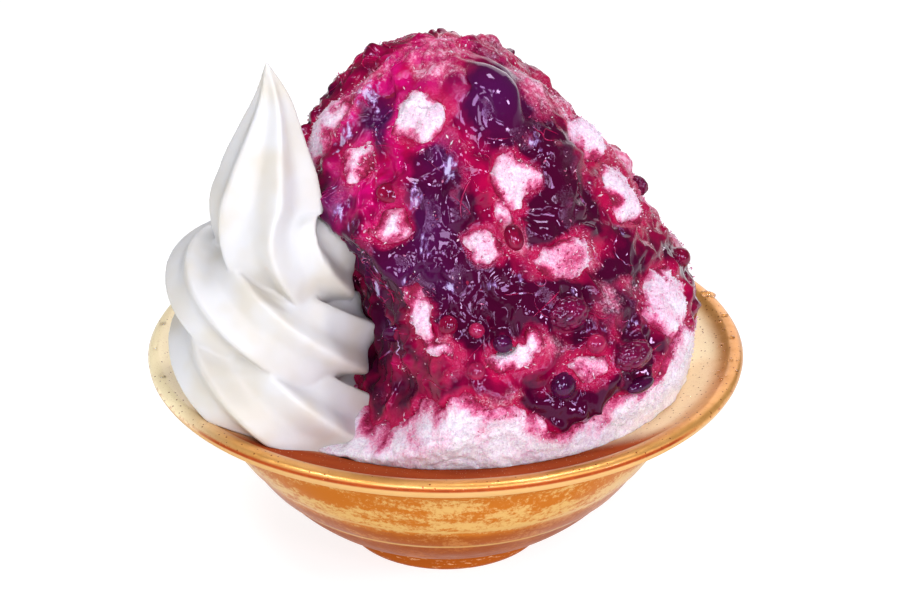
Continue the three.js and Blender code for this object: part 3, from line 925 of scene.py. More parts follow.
    def noise(self, noise: Noise, azimuth: Array, along: Array, size: float, octaves: int = 1,
              shift: float = 0.0) -> Array:
        """Read noise at places on the surface.

        Args:
            noise: the noise.
            azimuth: directions.
            along: lengths up the side.
            size: size of its cells.
            octaves: its layers.
            shift: how far the lattice is moved, so that two readings differ.

        Returns:
            One value for each place.
        """
        places = self.point(azimuth, along).reshape(-1, 3)
        return noise(places + shift, size, octaves).reshape(np.shape(along))

    def columns(self, count: int) -> Array:
        """Return directions round the heap, closer together in front: 360 u - 34 sin(2 pi u)."""
        u = np.arange(count) / count
        return 360 * u - self.crowding * np.sin(FULL_TURN * u)


@dataclass(frozen=True)
class Cover:
    """How the sauce covers some places."""

    edge: Array  # millimetres inside its lower edge
    hole: Array  # millimetres outside the bare patches
    soak: Array  # 0 to 1: how far the ice has drunk the sauce, so that its grains show through
    frost: Array  # 0 to 1: how thickly pale grains lie on the sauce

    @property
    def sauce(self) -> Array:
        """Return millimetres inside sauce or soaked ice; negative where the ice is clean."""
        return np.minimum(self.edge, self.hole)

    @property
    def gel(self) -> Array:
        """Return millimetres inside the glossy sheet; negative where ice shows."""
        return self.sauce - 0.6


@dataclass
class SauceLayout:
    """Where the sauce lies on the heap and how thick it is."""

    heap: Heap
    # direction, length up the side where the sauce begins
    edge: Knots = field(default_factory=lambda: [
        (0.5, 24.7), (4.2, 26.6), (8.5, 24), (16, 22), (20, 17), (25, 13.5), (31, 12), (36, 14.5),
        (41, 18.5), (47, 18.5), (52, 20), (58, 25), (67, 26), (76, 21), (88, 16), (98, 14), (108, 20),
        (118, 24), (128, 17), (138, 12), (148, 19), (158, 25), (170, 20), (180, 13), (190, 15), (202, 24),
        (215, 22), (226, 14), (238, 16), (252, 24), (265, 22), (278, 17), (300, 14), (320, 10), (342, 8.6),
        (346.5, 9.5), (349.5, 13), (352, 18), (356, 21), (358.2, 20.6)])
    # bare ice: direction, length up, half width, half height
    bare: list[tuple[float, ...]] = field(default_factory=lambda: [
        (-11, 108, 7.4, 8), (-66, 93, 5.5, 14), (-36, 90, 4.6, 5.6), (-16, 75, 5, 4.4), (31, 87, 6.5, 6.2),
        (14, 69.5, 5.4, 5), (38, 60.5, 9.8, 4.4), (-6.5, 48, 3.6, 8.5), (16, 36, 5.6, 4), (33, 31, 6, 4.4),
        (82, 86, 6.5, 7.5), (76, 68, 9, 8), (66, 36, 13, 9), (112, 55, 9, 8), (128, 92, 7, 8),
        (146, 40, 11, 5), (158, 74, 6, 10), (166, 70, 8, 4), (186, 104, 5, 7), (190, 46, 6, 8),
        (200, 52, 9, 4), (214, 80, 9, 6), (222, 74, 4, 5), (232, 42, 12, 5), (244, 100, 4, 9),
        (262, 62, 6, 10), (176, 28, 6, 3), (24, 77, 2.2, 4.4), (25, 69.4, 2.2, 3.4), (-2, 40, 4.4, 2.4),
        (22, 40.8, 2.8, 3.2)])
    # thicker places; their strength is the extra thickness
    thick: list[Spot] = field(default_factory=lambda: [
        (29, 17, 8, 4, 1.9), (-14, 16, 5, 7, 0.8), (50, 92, 12, 10, 1), (5, 88, 8, 14, 0.8),
        (0, 60, 14, 7, 0.8), (30, 124, 12, 8, 0.6)])
    soaked: list[Spot] = field(default_factory=lambda: [
        (80, 76, 26, 26, 0.5), (62, 104, 12, 14, 0.3), (20, 132, 26, 10, 0.35), (-30, 128, 16, 10, 0.3),
        (66, 50, 14, 12, 0.3), (52, 44, 12, 8, 0.25), (170, 60, 40, 12, 0.25), (230, 80, 30, 14, 0.25)])
    # pale grains on the sauce
    frosted: list[Spot] = field(default_factory=lambda: [
        (-4, 124, 8, 4.5, 1), (10, 121, 7, 4, 0.9), (16, 131, 9, 3, 0.7), (-20, 144, 16, 5, 0.9),
        (50, 140, 14, 7, 0.85), (-50, 128, 8, 5, 0.5), (70, 110, 6, 12, 0.85), (80, 92, 6, 12, 0.8),
        (99, 62, 9, 18, 1), (103, 42, 10, 14, 1), (96, 80, 8, 12, 0.9), (94, 100, 9, 14, 0.8),
        (45, 47, 4, 7, 0.6), (46, 58, 6, 3, 0.6), (-64, 116, 5, 10, 0.6), (24, 78, 2.6, 6, 0.85),
        (26, 69, 4, 4, 0.85), (-58, 98, 4, 10, 0.55), (48, 60, 5, 3, 0.55), (76, 62, 8, 9, 0.4),
        (54, 46, 5, 5, 0.45), (25, 38, 5, 4, 0.5), (-12, 26, 8, 3, 0.6), (12, 26, 9, 3, 0.55),
        (-2, 42, 6, 3, 0.55), (120, 120, 16, 10, 0.5), (170, 88, 10, 9, 0.45), (215, 118, 14, 9, 0.5),
        (250, 78, 9, 10, 0.45), (140, 60, 10, 8, 0.45)])
    usual: float = 2.0  # thickness
    rim: float = 0.9  # thickness at the edge
    bed: float = -2.1  # where the sauce's thickness begins, out from the heap's surface
    ruffle: float = 2.6  # how far noise moves the outlines
    ice_below: float = -2.4  # the ice's offset under the sauce
    ice_bare: float = -0.2  # its offset where it shows
    ice_swell: float = 1.3  # how much further it swells in the holes

    def __post_init__(self) -> None:
        """Lay the edge's curve and draw the noise that ruffles it."""
        self.edge_curve = Round(self.edge)
        self.noise = Noise(11)

    def away(self, azimuth: Array, along: Array, middle: float, height: float, w: float, h: float) -> Array:
        """Measure how far places lie from the middle of an oval on the heap.

        Args:
            azimuth: directions.
            along: lengths up the side.
            middle: the oval's direction.
            height: the length up the side of its middle.
            w: its half width in millimetres.
            h: its half height.

        Returns:
            0 at its middle, 1 on its outline and more outside.
        """
        turn = np.mod(azimuth - middle + 180, 360) - 180
        return np.hypot(np.radians(turn) * self.heap.radius(along) / w, (along - height) / h)

    def spots(self, azimuth: Array, along: Array, places: list[Spot], add: bool = False) -> Array:
        """Make a field of soft spots, each its strength times exp(-q^2), where q is how far away its
        middle is; the greatest counts, or their sum.

        Args:
            azimuth: directions.
            along: lengths up the side.
            places: the spots.
            add: whether the spots add up.

        Returns:
            The field, of the directions' shape.
        """
        total = np.zeros(np.shape(along))
        for *oval, strength in places:
            spot = strength * np.exp(-self.away(azimuth, along, *oval) ** 2)
            total = total + spot if add else np.maximum(total, spot)
        return total

    def cover(self, azimuth: Array, along: Array) -> Cover:
        """Find how the sauce covers each place, after noise has moved the outlines.

        Args:
            azimuth: directions.
            along: lengths up the side.

        Returns:
            The millimetres inside the lower edge and outside the bare ovals, how far the ice has drunk
            the sauce, and how thick the pale grains lie.
        """
        push = self.heap.noise(self.noise, azimuth, along, 9, 3) * self.ruffle
        turn = self.heap.noise(self.noise, azimuth, along, 8, 3, shift=50) * self.ruffle
        s = along + push
        a = azimuth + np.degrees(turn / np.maximum(self.heap.radius(along), 8))
        hole = np.full(along.shape, 30.0)
        for *oval, w, h in self.bare:
            hole = np.minimum(hole, (self.away(a, s, *oval, w, h) - 1) * min(w, h))
        flat = self.heap.point(azimuth, along).reshape(-1, 3)
        drunk = self.noise(flat * (1, 1, 0.7) + 90, 8, 3).reshape(along.shape) + self.spots(a, s, self.soaked)
        return Cover(s - self.edge_curve(a), hole, ease((drunk - 0.2) / 0.5), self.spots(a, s, self.frosted))

    def depth(self, azimuth: Array, along: Array, inside: Array) -> Array:
        """Work out the sauce's thickness: thin at its rim, fuller 4 mm inside it, with soft waves and
        heavy places.

        Args:
            azimuth: directions.
            along: lengths up the side.
            inside: millimetres inside the sauce.

        Returns:
            The thickness at each place.
        """
        waves = 0.45 * np.sin(np.radians(azimuth) * 13 + along * 0.31) * np.sin(along * 0.43)
        full = self.usual + waves + self.spots(azimuth, along, self.thick, add=True)
        return mix(self.rim, full, ease(inside / 4))

    def ice_level(self, cover: Cover) -> Array:
        """Return the ice's offset from the heap's surface: low under the sauce, higher where bare, and
        swelling further out in the holes."""
        swell = self.ice_swell * ease((0.5 - cover.hole) / 4.5) * ease(cover.edge / 3)
        return mix(self.ice_below, self.ice_bare, ease((1.2 - cover.gel) / 2.6)) + swell


# ---- shaved ice ----
@dataclass(frozen=True)
class SnowFinish:
    """Granular shaved ice, white to pale lilac, stained pink, magenta and crimson beside the sauce."""

    name: str = "shaved_ice"
    roughness: float = 0.6
    snow: Colour = (0.95, 0.92, 0.97)
    # tints of painted shade: lilac for soft patches, and a darker one for the recesses between grains
    lilac: Colour = (0.80, 0.72, 0.86)
    pit_shade: Colour = (0.80, 0.70, 0.80)
    blush: Colour = (0.92, 0.66, 0.78)
    pink: Colour = (0.80, 0.22, 0.40)
    magenta: Colour = (0.52, 0.025, 0.13)
    crimson: Colour = (0.27, 0.002, 0.040)

    def build(self) -> Material:
        """Make the material: the stain mark, broken up by fine grains, picks the colour, and painted lilac
        shade in soft patches and painted shade in the recesses between grains lie over it.

        Returns:
            The material.
        """
        m = Coat(self.name)
        stain = m.mark("stain")
        change = (m.noise(1.0, 5, 0.85) - 0.5) * (stain * 3.8 + 0.7)
        colour = m.ramp(stain + change, [
            (0.0, self.snow), (0.1, self.snow), (0.34, self.blush), (0.56, self.pink), (0.74, self.magenta),
            (0.92, self.crimson)])
        # painted shade in the recesses between grains
        recess_shade = 1.0 - m.step(m.noise(0.8, 4, 0.8), 0.36, 0.56)
        colour = m.blend(recess_shade, colour, m.tinted(colour, self.pit_shade))
        # painted shade: soft lilac patches
        shade = m.step(m.noise(7, 3, 0.6), 0.42, 0.68) * 0.35
        m.set(
            Base_Color=m.blend(shade, colour, m.tinted(colour, self.lilac)),
            Roughness=self.roughness,
            Specular_IOR_Level=0.2,
            Subsurface_Weight=0.4,
            Subsurface_Scale=0.0018,
            Subsurface_Radius=(1.0, 0.6, 0.75),
            Normal=m.bump(m.noise(0.6, 3, 0.8), 0.45, m.bump(m.noise(2.2, 3, 0.7), 0.7)),
        )
        return m.material


@dataclass
class ShavedIce:
    """The heap of ice: a fine granular skin above, the well of the bowl below."""

    heap: Heap
    layout: SauceLayout
    bowl: Bowl
    berries: list["Berry"]
    skirt: float = 3.6  # how far the foot of the heap spreads on the flange
    skirt_height: float = 12  # length up the side that the spread takes
    clearance: float = 0.12  # between the skirt and the flange
    # radius, height
    well: Knots = field(default_factory=lambda: [
        (65.6, 55.4), (62.8, 51.8), (59.2, 43.4), (52, 33), (40.6, 23.9), (26.6, 17.6)])
    well_floor: float = 14.4
    top: float = 159.4
    # lattice shift, size of cells, height
    tufts: tuple[tuple[float, float, float], ...] = ((0, 9, 0.6), (0, 3.4, 0.5), (9, 1.8, 0.55))
    berry_pit: float = 2.2  # how far the ice sinks under a berry, so that none pierces it
    # pink blushes in the clean ice
    blushes: list[Spot] = field(default_factory=lambda: [
        (-14, 12, 12, 6, 0.4), (-2, 16, 10, 7, 0.32), (9, 18, 9, 6, 0.28), (18, 9, 12, 5, 0.12),
        (52, 15, 10, 5, 0.2), (66, 22, 8, 6, 0.3), (38, 60.5, 11, 6, 0.35), (16, 36, 8, 5, 0.15),
        (33, 31, 8, 5, 0.25), (-6, 48, 5, 10, 0.15), (25, 72, 4, 8, 0.3), (14, 69, 6, 6, 0.12),
        (31, 86, 8, 8, 0.08), (-11, 106, 8, 4, 0.15), (100, 9, 14, 5, 0.4), (150, 13, 14, 6, 0.4),
        (205, 16, 14, 6, 0.45), (250, 14, 14, 6, 0.4)])
    columns: int = 440
    rows: int = 146

    def level(self, azimuth: Array, along: Array, cover: Cover) -> Array:
        """Work out the skin's offset: the ice's level, with tufts of three sizes and a pit under each
        berry.

        Args:
            azimuth: directions.
            along: lengths up the side.
            cover: how the sauce covers them.

        Returns:
            Millimetres out from the heap's surface.
        """
        flat = self.heap.point(azimuth, along).reshape(-1, 3)
        tufts = sum(NOISE(flat + shift, size) * height for shift, size, height in self.tufts)
        level = self.layout.ice_level(cover) + tufts.reshape(along.shape)
        for berry in self.berries:
            q = self.layout.away(azimuth, along, *berry.oval)
            level = level - self.berry_pit * ease((1.55 - q) / 0.5)
        return level

    def stain(self, azimuth: Array, along: Array, cover: Cover) -> Array:
        """Work out how far sauce has soaked in: a narrow change round the holes, a wider one below the
        lower edge, both moved by noise, and faint blushes elsewhere.

        Args:
            azimuth: directions.
            along: lengths up the side.
            cover: how the sauce covers them.

        Returns:
            0 to 1 for each place.
        """
        wander = self.heap.noise(NOISE, azimuth, along, 6, 3, shift=30)
        drift = self.heap.noise(NOISE, azimuth, along, 11, 3, shift=70)
        holes = ease((cover.hole + 3.9 + 2.8 * wander) / 6.4)
        edge = ease((cover.edge + 7.0 + 3.0 * wander) / 11.0)
        blush = self.layout.spots(azimuth, along, self.blushes, add=True) * np.clip(0.75 + 0.6 * wander, 0, 1)
        tint = 0.03 + 0.22 * ease((cover.edge - 3) / 6) + 0.16 * drift + blush
        return np.maximum(np.minimum(holes, edge), tint)

    def build(self) -> Piece:
        """Make the skin over a grid of direction and length up the side, and close it by the well.

        Returns:
            The heap of ice.
        """
        a, s = np.meshgrid(self.heap.columns(self.columns), np.linspace(0, self.heap.length - 0.5, self.rows))
        cover = self.layout.cover(a, s)
        places, normal = self.heap.frame(a, s)
        rings = places + normal * self.level(a, s, cover)[..., None]
        foot = np.clip(1 - s / self.skirt_height, 0, 1) ** 2
        rings[..., :2] *= (1 + self.skirt * foot / np.hypot(rings[..., 0], rings[..., 1]))[..., None]
        floor = self.bowl.upper(np.hypot(rings[..., 0], rings[..., 1])) + self.clearance
        rings[..., 2] = np.where(s < self.skirt_height, np.maximum(rings[..., 2], floor), rings[..., 2])
        under = np.array([turned(r, np.radians(a[0]), z) for r, z in self.well[::-1]])
        whole = np.concatenate([under, rings])
        points, quads = closed_tube(whole, (0, 0, self.well_floor), (self.heap.lean, 0, self.top))
        mark = np.concatenate([np.zeros(under.shape[:2]).ravel(), self.stain(a, s, cover).ravel(), [0, 1]])
        piece = add_mesh("ice_heap", points, quads, {"stain": mark})
        return finished(piece, SnowFinish().build(), "shaved_ice", "shaved_ice")


# ---- berry sauce ----
@dataclass(frozen=True)
class SauceFinish:
    """Glossy berry sauce: near black purple where deep, wine and crimson where thin, with magenta and
    violet drifts, painted highlights of pale lilac, and stained or pale grains of ice that dull the gloss."""

    deep: Colour = (0.050, 0.0006, 0.017)
    wine: Colour = (0.240, 0.0006, 0.036)
    crimson: Colour = (0.37, 0.0010, 0.046)
    magenta: Colour = (0.60, 0.0020, 0.17)
    violet: Colour = (0.062, 0.006, 0.078)
    # colours of painted highlights, dim and bright
    painted_gleam: Colour = (0.40, 0.22, 0.58)
    bright_painted_gleam: Colour = (0.72, 0.70, 0.95)
    grains: Colour = (0.58, 0.05, 0.17)
    frost: Colour = (0.74, 0.14, 0.28)
    rime: Colour = (0.92, 0.58, 0.74)

    def build(self) -> Material:
        """Make the material: the depth mark picks the colour, and each of the other marks lays its own
        tint over it, broken up by noise.

        Returns:
            The material.
        """
        m = Coat("berry_sauce")
        soak, frosted = m.mark("soak"), m.mark("frost")
        depth = m.mark("depth") + (m.noise(7, 4, 0.5) - 0.5)
        colour = m.ramp(
            depth, [(0.0, self.crimson), (0.24, self.crimson), (0.46, self.wine), (0.76, self.deep)])
        patch = m.mark("magenta") * m.step(m.noise(9, 3, 0.6), 0.38, 0.6)
        colour = m.blend(patch * (m.step(depth, 0.7, 0.1) + 0.1), colour, self.magenta)
        colour = m.blend(m.mark("violet") * 0.8, colour, self.violet)
        # painted highlights
        colour = self.painted_highlights(m, colour)
        stained = m.step(m.noise(0.8, 4, 0.75), 0.48, 0.68) * (soak * m.step(depth, 0.75, 0.3))
        colour = m.blend(stained * 0.55, colour, self.grains)
        crust = (frosted * 0.5 + m.noise(0.75, 5, 0.8) * 0.9) * m.step(frosted, 0.0, 0.25)
        pale = m.blend(m.step(m.noise(1.6, 3), 0.4, 0.62), self.frost, self.rime)
        colour = m.blend(m.step(crust, 0.56, 0.88) * 0.75, colour, pale)
        rough = m.noise(0.9, 3, 0.65) * ((soak + frosted) * 0.6)
        m.set(
            Base_Color=colour,
            Roughness=frosted.or_more(soak * 0.25) * 0.4 + 0.04,
            IOR=1.35,
            Specular_Tint=(0.84, 0.56, 0.96),
            Normal=m.bump(rough, 0.9, m.bump(m.noise(4.5, 0, 0.4), 0.10)),
        )
        return m.material

    def painted_highlights(self, m: Coat, colour: Socket) -> Socket:
        """Lay the painted highlights over a colour, pale lilac streaks drawn out upwards and frayed by noise.

        Args:
            m: the material.
            colour: the colour under them.

        Returns:
            The colour with its painted highlights.
        """
        mark = m.mark("painted_gleam")
        frayed = (m.noise(1.8, 4, 0.6, m.scaled(1, 1, 0.35)) - 0.5) * 2.8
        gleam = m.step(mark + frayed, 0.55, 1.15) * m.step(mark, 0.05, 0.4)
        return m.blend(gleam * 0.8, colour, m.blend(m.step(gleam, 0.5, 1.0), self.painted_gleam, self.bright_painted_gleam))


@dataclass
class BerrySauce:
    """The sheet of sauce: an outer face with pulled ridges and lumps and an inner face in the ice."""

    heap: Heap
    layout: SauceLayout
    berries: list["Berry"]
    material: Material
    columns: int = 396
    rows: int = 138
    lowest: float = 6.0
    violet: list[Spot] = field(default_factory=lambda: [
        (-34, 104, 6, 10, 1), (-40, 76, 6, 14, 0.8), (2, 96, 6, 8, 0.6), (-4, 74, 8, 12, 0.6),
        (-6, 60, 12, 7, 0.6), (34, 111, 15, 11, 0.65), (-30, 56, 9, 8, 0.6), (-24, 40, 4, 12, 0.5),
        (150, 96, 12, 10, 0.7), (200, 66, 12, 12, 0.7), (255, 88, 9, 12, 0.6)])
    # painted highlights: pale lilac gleams
    painted_gleam: list[Spot] = field(default_factory=lambda: [
        (-56, 110, 5, 6, 1), (-50, 96, 2.4, 8, 1), (-41, 88, 2.4, 4, 0.9), (-8, 82.5, 3, 5, 1),
        (5, 91, 2.6, 6, 1), (-43, 107, 3, 3, 0.7), (-36, 75, 4, 4, 0.7), (-30, 71, 3, 4, 0.7),
        (-4, 68.5, 2.4, 6, 0.8), (-22, 61, 2.6, 4, 0.7), (-24, 47, 2.6, 8, 1), (-9, 58, 5, 2, 0.8),
        (3, 57.7, 5, 1.8, 0.8), (14, 57.5, 4, 1.8, 0.7), (21, 58.5, 3, 1.8, 0.7), (-22, 34, 3, 3, 0.7),
        (38, 40, 5, 3, 0.6), (50, 36.5, 6, 4, 0.6), (63, 60, 2.4, 4, 0.7), (50, 57.7, 3, 2.4, 0.7),
        (34, 52.7, 4, 2, 0.7), (47, 95, 3, 4, 0.7), (130, 60, 5, 4, 0.7), (160, 100, 4, 6, 0.8),
        (210, 90, 3, 7, 0.8), (225, 60, 5, 3, 0.7), (250, 110, 4, 6, 0.8)])
    magenta: list[Spot] = field(default_factory=lambda: [
        (-40, 110, 16, 24, 1), (0, 142, 60, 9, 0.7), (56, 122, 8, 10, 0.6), (-34, 84, 14, 20, 0.9),
        (-12, 92, 12, 8, 0.7), (60, 118, 14, 8, 0.5), (-16, 130, 22, 10, 0.6), (28, 98, 8, 10, 0.3),
        (-18, 26, 16, 8, 0.35), (240, 70, 22, 16, 0.6), (170, 118, 20, 12, 0.5), (110, 36, 16, 9, 0.4)])
    # deep places, and thin ones with a minus
    tones: list[Spot] = field(default_factory=lambda: [
        (36, 111, 17, 13, 0.6), (-33, 104, 8, 11, 0.25), (0, 76, 12, 14, 0.45), (-8, 60, 18, 8, 0.5),
        (44, 82, 16, 13, 0.4), (20, 52, 30, 8, 0.3), (28, 20, 12, 4, 0.4), (-20, 30, 6, 14, 0.05),
        (92, 70, 14, 40, -0.25), (60, 40, 12, 10, 0.3), (-2, 94, 7, 9, 0.3), (-16, 98, 8, 9, -0.45),
        (12, 100, 7, 10, -0.45), (-26, 84, 12, 8, -0.35), (2, 118, 20, 6, -0.3), (-24, 122, 16, 9, -0.4),
        (16, 82, 5, 8, -0.35), (-10, 34, 16, 8, -0.1), (70, 60, 13, 12, -0.15), (14, 29, 18, 5, -0.1),
        (-16, 16, 16, 6, -0.1), (40, 70, 20, 8, 0.15), (-10, 141, 60, 8, -0.3), (30, 134, 10, 5, -0.2),
        (150, 96, 14, 12, 0.4), (200, 66, 14, 14, 0.4), (240, 70, 16, 10, -0.3)])
    # places without relief
    smooth: list[Spot] = field(default_factory=lambda: [
        (36, 112, 15, 11, 1), (-4, 76, 8, 10, 0.8), (-10, 60, 12, 6, 0.7), (46, 84, 8, 7, 0.6)])
    # places whose gloss no grains break
    glossy: list[Spot] = field(default_factory=lambda: [
        (-14, 25, 13, 9, 1), (-18, 40, 8, 8, 0.9), (28, 19, 10, 5, 1), (2, 30, 8, 3, 0.7),
        (20, 50, 24, 5, 0.8),
        (52, 30, 10, 6, 0.8), (60, 74, 10, 10, 0.6), (-40, 60, 10, 20, 0.7), (200, 70, 16, 12, 0.8)])
    # places with lumps of fruit pulp
    pulpy: list[Spot] = field(default_factory=lambda: [
        (30, 46, 26, 8, 0.8), (40, 32, 22, 9, 0.7), (-12, 34, 14, 14, 0.8), (20, 22, 26, 6, 0.6),
        (5, 58, 24, 4, 0.7), (60, 44, 14, 12, 0.6), (10, 50, 14, 5, 0.5), (64, 64, 10, 14, 0.4),
        (120, 60, 24, 20, 0.5), (225, 56, 20, 18, 0.5)])
    net_height: float = 0.5
    pull_height: float = 1.1
    lump_height: float = 1.7
    fold_height: float = 1.2
    pillow_height: float = 3.0
    ripple_height: float = 0.3
    sink: float = 0.4  # how far the relief's middle lies below the plain sheet
    crown_calm: float = 16  # length below the top over which the relief fades
    bend: float = 2.6  # how far noise bends the ridges
    least_gel: float = -2.4  # faces further outside the sauce are dropped
    in_ice: float = 0.8  # how far the inner face lies in the ice
    least_sheet: float = 1.0  # the sheet's least thickness
    outer_tip: float = 160.0
    inner_tip: float = 156.0

    def relief(self, azimuth: Array, along: Array) -> tuple[Array, Array]:
        """Work out the outer face's own relief: broad lumps, ridges pulled down the slope, folds, a net
        of finer ridges, pillows where there is pulp, and ripples. A ridge is the crest line of noise.

        Args:
            azimuth: directions.
            along: lengths up the side.

        Returns:
            The relief in millimetres, and the broad lumps alone, of about -1 to 1.
        """
        flat = self.heap.point(azimuth, along).reshape(-1, 3)
        noise = Noise(5)
        bent = flat + self.bend * np.stack([noise(flat + k, 9) for k in (3, 31, 77)], 1)
        pulls = ease(noise.ridges(bent * (1.0, 1.0, 0.6), 13) * 3.4 - 2.4)
        lumps = noise(flat + 9, 12) + 0.5 * noise(flat + 5, 5.5)
        pulpy = self.layout.spots(azimuth, along, self.pulpy).ravel()
        pulp = ease(noise(flat + 60, 17, 2) * 1.8 + pulpy - 0.1)
        pillows = np.abs(noise(bent + 21, 5.0)) - 0.2
        folds = noise(bent * (1.0, 1.0, 0.7) + 44, 7.5)
        nets = ease(noise.ridges(bent * (1.0, 1.0, 0.75) + 90, 11) * 3.4 - 2.3)
        total = (self.net_height * nets + self.pull_height * pulls * (1 - 0.5 * pulp)
                 + self.lump_height * lumps + self.fold_height * folds + self.pillow_height * pulp * pillows
                 + self.ripple_height * noise(bent + 3, 5.2) - self.sink)
        calm = np.clip((self.heap.length - along) / self.crown_calm, 0.0, 1)
        calm = calm * (1 - 0.9 * self.layout.spots(azimuth, along, self.smooth))
        return total.reshape(along.shape) * calm, lumps.reshape(along.shape)

    def over_berries(self, azimuth: Array, along: Array, top: Array) -> Array:
        """Raise the sauce round and over each berry: the smooth greater of the sauce's level and the
        berry's own, less the depth to which the berry stands clear. A sunk berry lifts a broad bell of
        sauce. Any other lifts a collar, and the sheet dips over the berry's middle to stay below it.

        Args:
            azimuth: directions.
            along: lengths up the side.
            top: the sauce's level before.

        Returns:
            The sauce's level with the berries in it.
        """
        blend = 1.3
        uneven = 0.2 * self.heap.noise(NOISE, azimuth, along, 5, 2, shift=12)
        for berry in self.berries:
            q = self.layout.away(azimuth, along, *berry.oval)
            dip = 3 * np.clip(q - 0.97, 0, 3) + 0.6 * ease((0.97 - q) / 0.25)
            collar = np.sqrt(np.clip(1 - q * q, 0, 1)) - dip
            bell = np.cos(np.clip(q / 1.5, 0, 1) * math.pi / 2) ** 2 - 0.5 * np.clip(q - 1.3, 0, 3)
            level = berry.lift + berry.deep * (bell if berry.sunk else collar) - berry.clear - uneven
            h = np.clip(0.5 + (level - top) / (2 * blend), 0, 1)
            raised = mix(top, level, h) + blend * h * (1 - h)
            top = np.where(q < 3.5, raised, top)
        return top

    def top(self, azimuth: Array, along: Array, cover: Cover) -> Array:
        """Work out the sheet's outer level: its thickness and relief, falling away outside its edge.

        Args:
            azimuth: directions.
            along: lengths up the side.
            cover: how the sauce covers them.

        Returns:
            Millimetres out from the heap's surface.
        """
        relief, _ = self.relief(azimuth, along)
        thick = self.layout.depth(azimuth, along, cover.sauce)
        relief = relief * ease((cover.gel + 0.5) / 3.0)
        level = self.layout.bed + thick + relief - 0.8 * np.maximum(-cover.gel, 0)
        return self.over_berries(azimuth, along, level)

    def marks(self, azimuth: Array, along: Array, cover: Cover) -> dict[str, Array]:
        """Work out the marks that the finish reads. The depth is a base value, more inside the edge, in
        thick and deep places and low down, and less on crests, in soaked ice and under frost.

        Args:
            azimuth: directions.
            along: lengths up the side.
            cover: how the sauce covers them.

        Returns:
            Depth, violet, magenta, soaked grains, frost and painted highlights, each 0 to 1.
        """
        def spots(places: list[Spot], add: bool = False) -> Array:
            """Return the field of these spots at the places."""
            return self.layout.spots(azimuth, along, places, add)

        relief, lumps = self.relief(azimuth, along)
        thick = self.layout.depth(azimuth, along, cover.sauce)
        depth = 0.22 + 0.40 * ease((cover.sauce - 0.4) / 4) + 0.10 * (thick - self.layout.usual)
        depth = depth + 0.16 * lumps - 0.07 * relief + 0.1 * ease((78 - along) / 20)
        depth = depth + spots(self.tones, add=True) - 0.25 * cover.soak - 0.4 * cover.frost
        wet = 1 - 0.9 * np.clip(spots(self.glossy + self.smooth), 0, 1)
        return {
            "depth": np.clip(depth, 0, 1),
            "violet": spots(self.violet) * ease(cover.sauce / 3),
            "magenta": spots(self.magenta),
            "soak": np.maximum(cover.soak, 1 - ease((cover.sauce - 0.4) / 2.4)) * wet,
            "frost": cover.frost * wet,
            # painted highlights
            "painted_gleam": spots(self.painted_gleam) * ease(cover.sauce / 2),
        }

    def build(self) -> Piece:
        """Make the outer grid, keep its faces where there is sauce, and close them to an inner grid.

        Returns:
            The sheet of sauce.
        """
        up = np.linspace(self.lowest, self.heap.length - 0.6, self.rows)
        a, s = np.meshgrid(self.heap.columns(self.columns), up)
        cover = self.layout.cover(a, s)
        places, normal = self.heap.frame(a, s)
        top = self.top(a, s, cover)
        under = np.minimum(self.layout.ice_level(cover) - self.in_ice, top - self.least_sheet)
        outer, inner = (places + normal * level[..., None] for level in (top, under))
        kept = cover.gel > self.least_gel
        cell = kept[:-1] & kept[1:] & np.roll(kept, -1, 1)[:-1] & np.roll(kept, -1, 1)[1:]
        points = np.concatenate([outer.reshape(-1, 3), inner.reshape(-1, 3),
                                 [(self.heap.lean, 0, self.outer_tip), (self.heap.lean, 0, self.inner_tip)]])
        quads = self.shell(cell)
        used, fresh = np.unique(quads, return_inverse=True)
        points, quads = points[used], fresh.reshape(quads.shape)
        marks = {key: np.concatenate([mark.ravel(), mark.ravel(), [0.5, 0.5]])[used]
                 for key, mark in self.marks(a, s, cover).items()}
        piece = add_mesh("sauce_sheet", points, outward(points, quads), marks)
        return finished(piece, self.material, "berry_sauce", "berry_sauce")

    def shell(self, cell: Array) -> Array:
        """Find the faces of the closed sheet: those kept on the outer grid, the same on the inner one
        turned over, a wall along every side that only one kept face has, and caps at the top.

        Args:
            cell: whether each face of the grid is kept.

        Returns:
            Four point numbers a face: the outer grid's points, the inner grid's, then the two tips.
        """
        rows, columns = self.rows, self.columns
        face = tube_quads(rows, columns)[cell.ravel()]
        n = rows * columns
        sides = np.concatenate([np.stack([face[:, k], face[:, (k + 1) % 4]], 1) for k in range(4)])
        lone = ~np.isin(sides[:, 0] * n + sides[:, 1], sides[:, 1] * n + sides[:, 0])
        rim = sides[lone & ~np.all(sides >= n - columns, axis=1)]
        wall = np.stack([rim[:, 1], rim[:, 0], rim[:, 0] + n, rim[:, 1] + n], 1)
        last = n - columns + np.arange(columns)
        under_caps = cap_quads(last + n, 2 * n + 1)[:, [1, 0, 2, 3]]
        return np.concatenate([face, face[:, ::-1] + n, wall, cap_quads(last, 2 * n), under_caps])


